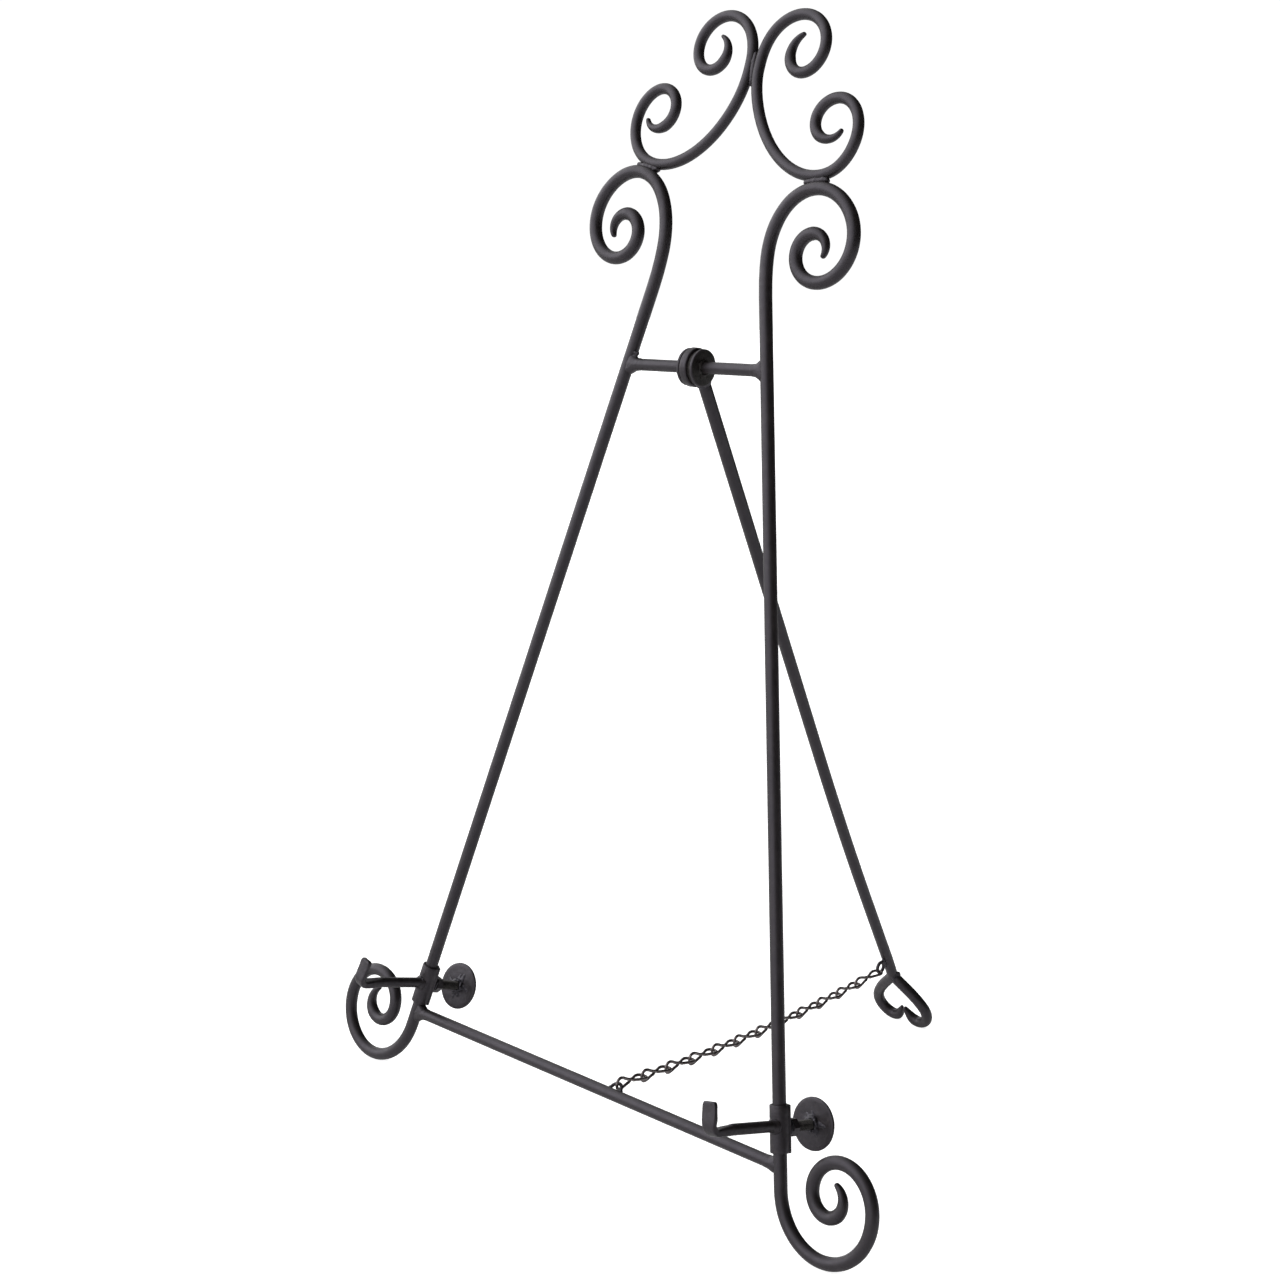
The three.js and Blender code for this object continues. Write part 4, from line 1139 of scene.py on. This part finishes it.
# The paper's glow: what it gives the easel, and what the camera sees of it
PAPER_GLOW = 0.14
PAPER_SEEN = 0.85
KEY_SIZE = (1.2, 1.6)
KEY_ENERGY = 3
KEY_PLACE = Vector((-1.5, -1.3, 1.3))
KEY_TARGET = Vector((0, 0, 0.3))
# The camera stands in drawing coordinates; its angles are radians
CAMERA_LENS = 57.2
CAMERA_SHIFT = (-0.0003, 0.0003)
CAMERA_PLACE = Vector((651.73, -755.04, 310.77))
CAMERA_AZIMUTH = 0.718416
CAMERA_ELEVATION = 0.0856767
CAMERA_ROLL = 0.1549073

bm = bmesh.new()
corners = ((-1, -1), (1, -1), (1, 1), (-1, 1))
bm.faces.new([bm.verts.new((x * FLOOR_HALF, y * FLOOR_HALF, cad_low.z)) for x, y in corners])
floor_mesh = bpy.data.meshes.new("floor")
bm.to_mesh(floor_mesh)
bm.free()
floor = bpy.data.objects.new("floor", floor_mesh)
bpy.context.scene.collection.objects.link(floor)
floor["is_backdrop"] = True
paper = Nodes("white_paper")
paper_tone = paper.ramp(paper.noise(3, 3), [(0.3, (0.80, 0.80, 0.80)), (0.7, (0.83, 0.83, 0.83))])
paper.link(paper_tone, paper.shader.inputs["Base Color"])
paper.shader.inputs["Roughness"].default_value = 0.9
paper.shader.inputs["Emission Color"].default_value = (1, 1, 1, 1)
seen = paper.node("ShaderNodeLightPath").outputs["Is Camera Ray"]
paper.link(paper.spread(seen, 0, 1, PAPER_GLOW, PAPER_SEEN), paper.shader.inputs["Emission Strength"])
floor_mesh.materials.append(paper.material)

world = bpy.data.worlds.new("white_tent")
bpy.context.scene.world = world
world.use_nodes = True
tree = world.node_tree
tree.nodes.clear()
direction = tree.nodes.new("ShaderNodeTexCoord").outputs["Generated"]
bright_side = tree.nodes.new("ShaderNodeVectorMath")
bright_side.operation = "DOT_PRODUCT"
bright_side.inputs[1].default_value = BRIGHT_DIRECTION
tree.links.new(direction, bright_side.inputs[0])
falloff = tree.nodes.new("ShaderNodeMapRange")
falloff.interpolation_type = "SMOOTHSTEP"
for socket, number in zip(RANGE_SOCKETS, TENT_RANGE):
    falloff.inputs[socket].default_value = number
tree.links.new(bright_side.outputs["Value"], falloff.inputs["Value"])
tent = tree.nodes.new("ShaderNodeBackground")
tree.links.new(falloff.outputs["Result"], tent.inputs["Strength"])
backdrop = tree.nodes.new("ShaderNodeBackground")
for shade in (tent, backdrop):
    shade.inputs["Color"].default_value = (1, 1, 1, 1)
backdrop.inputs["Strength"].default_value = BACKDROP_STRENGTH
choose = tree.nodes.new("ShaderNodeMixShader")
tree.links.new(tree.nodes.new("ShaderNodeLightPath").outputs["Is Camera Ray"], choose.inputs["Fac"])
tree.links.new(tent.outputs["Background"], choose.inputs[1])
tree.links.new(backdrop.outputs["Background"], choose.inputs[2])
tree.links.new(choose.outputs["Shader"], tree.nodes.new("ShaderNodeOutputWorld").inputs["Surface"])

key = bpy.data.lights.new("key", "AREA")
key.shape = "RECTANGLE"
key.size, key.size_y = KEY_SIZE
key.energy = KEY_ENERGY
key_light = bpy.data.objects.new("key", key)
key_light.location = KEY_PLACE
key_light.rotation_euler = (KEY_TARGET - KEY_PLACE).to_track_quat("-Z", "Y").to_euler()
bpy.context.scene.collection.objects.link(key_light)

camera_data = bpy.data.cameras.new("camera")
camera_data.sensor_width = 36
camera_data.lens = CAMERA_LENS
camera_data.shift_x, camera_data.shift_y = CAMERA_SHIFT
camera = bpy.data.objects.new("camera", camera_data)
flat = math.cos(CAMERA_ELEVATION)
look = Vector(
    (-math.sin(CAMERA_AZIMUTH) * flat, math.cos(CAMERA_AZIMUTH) * flat, -math.sin(CAMERA_ELEVATION))
)
level = Vector((math.cos(CAMERA_AZIMUTH), math.sin(CAMERA_AZIMUTH), 0))
above = level.cross(look)
right = level * math.cos(CAMERA_ROLL) + above * math.sin(CAMERA_ROLL)
top = -level * math.sin(CAMERA_ROLL) + above * math.cos(CAMERA_ROLL)
turn = FRAME.to_3x3().normalized()
camera.matrix_world = basis(turn @ right, turn @ top, turn @ -look, FRAME @ CAMERA_PLACE)
bpy.context.scene.collection.objects.link(camera)
bpy.context.scene.camera = camera
bpy.context.scene.view_settings.view_transform = "Standard"

low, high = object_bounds()
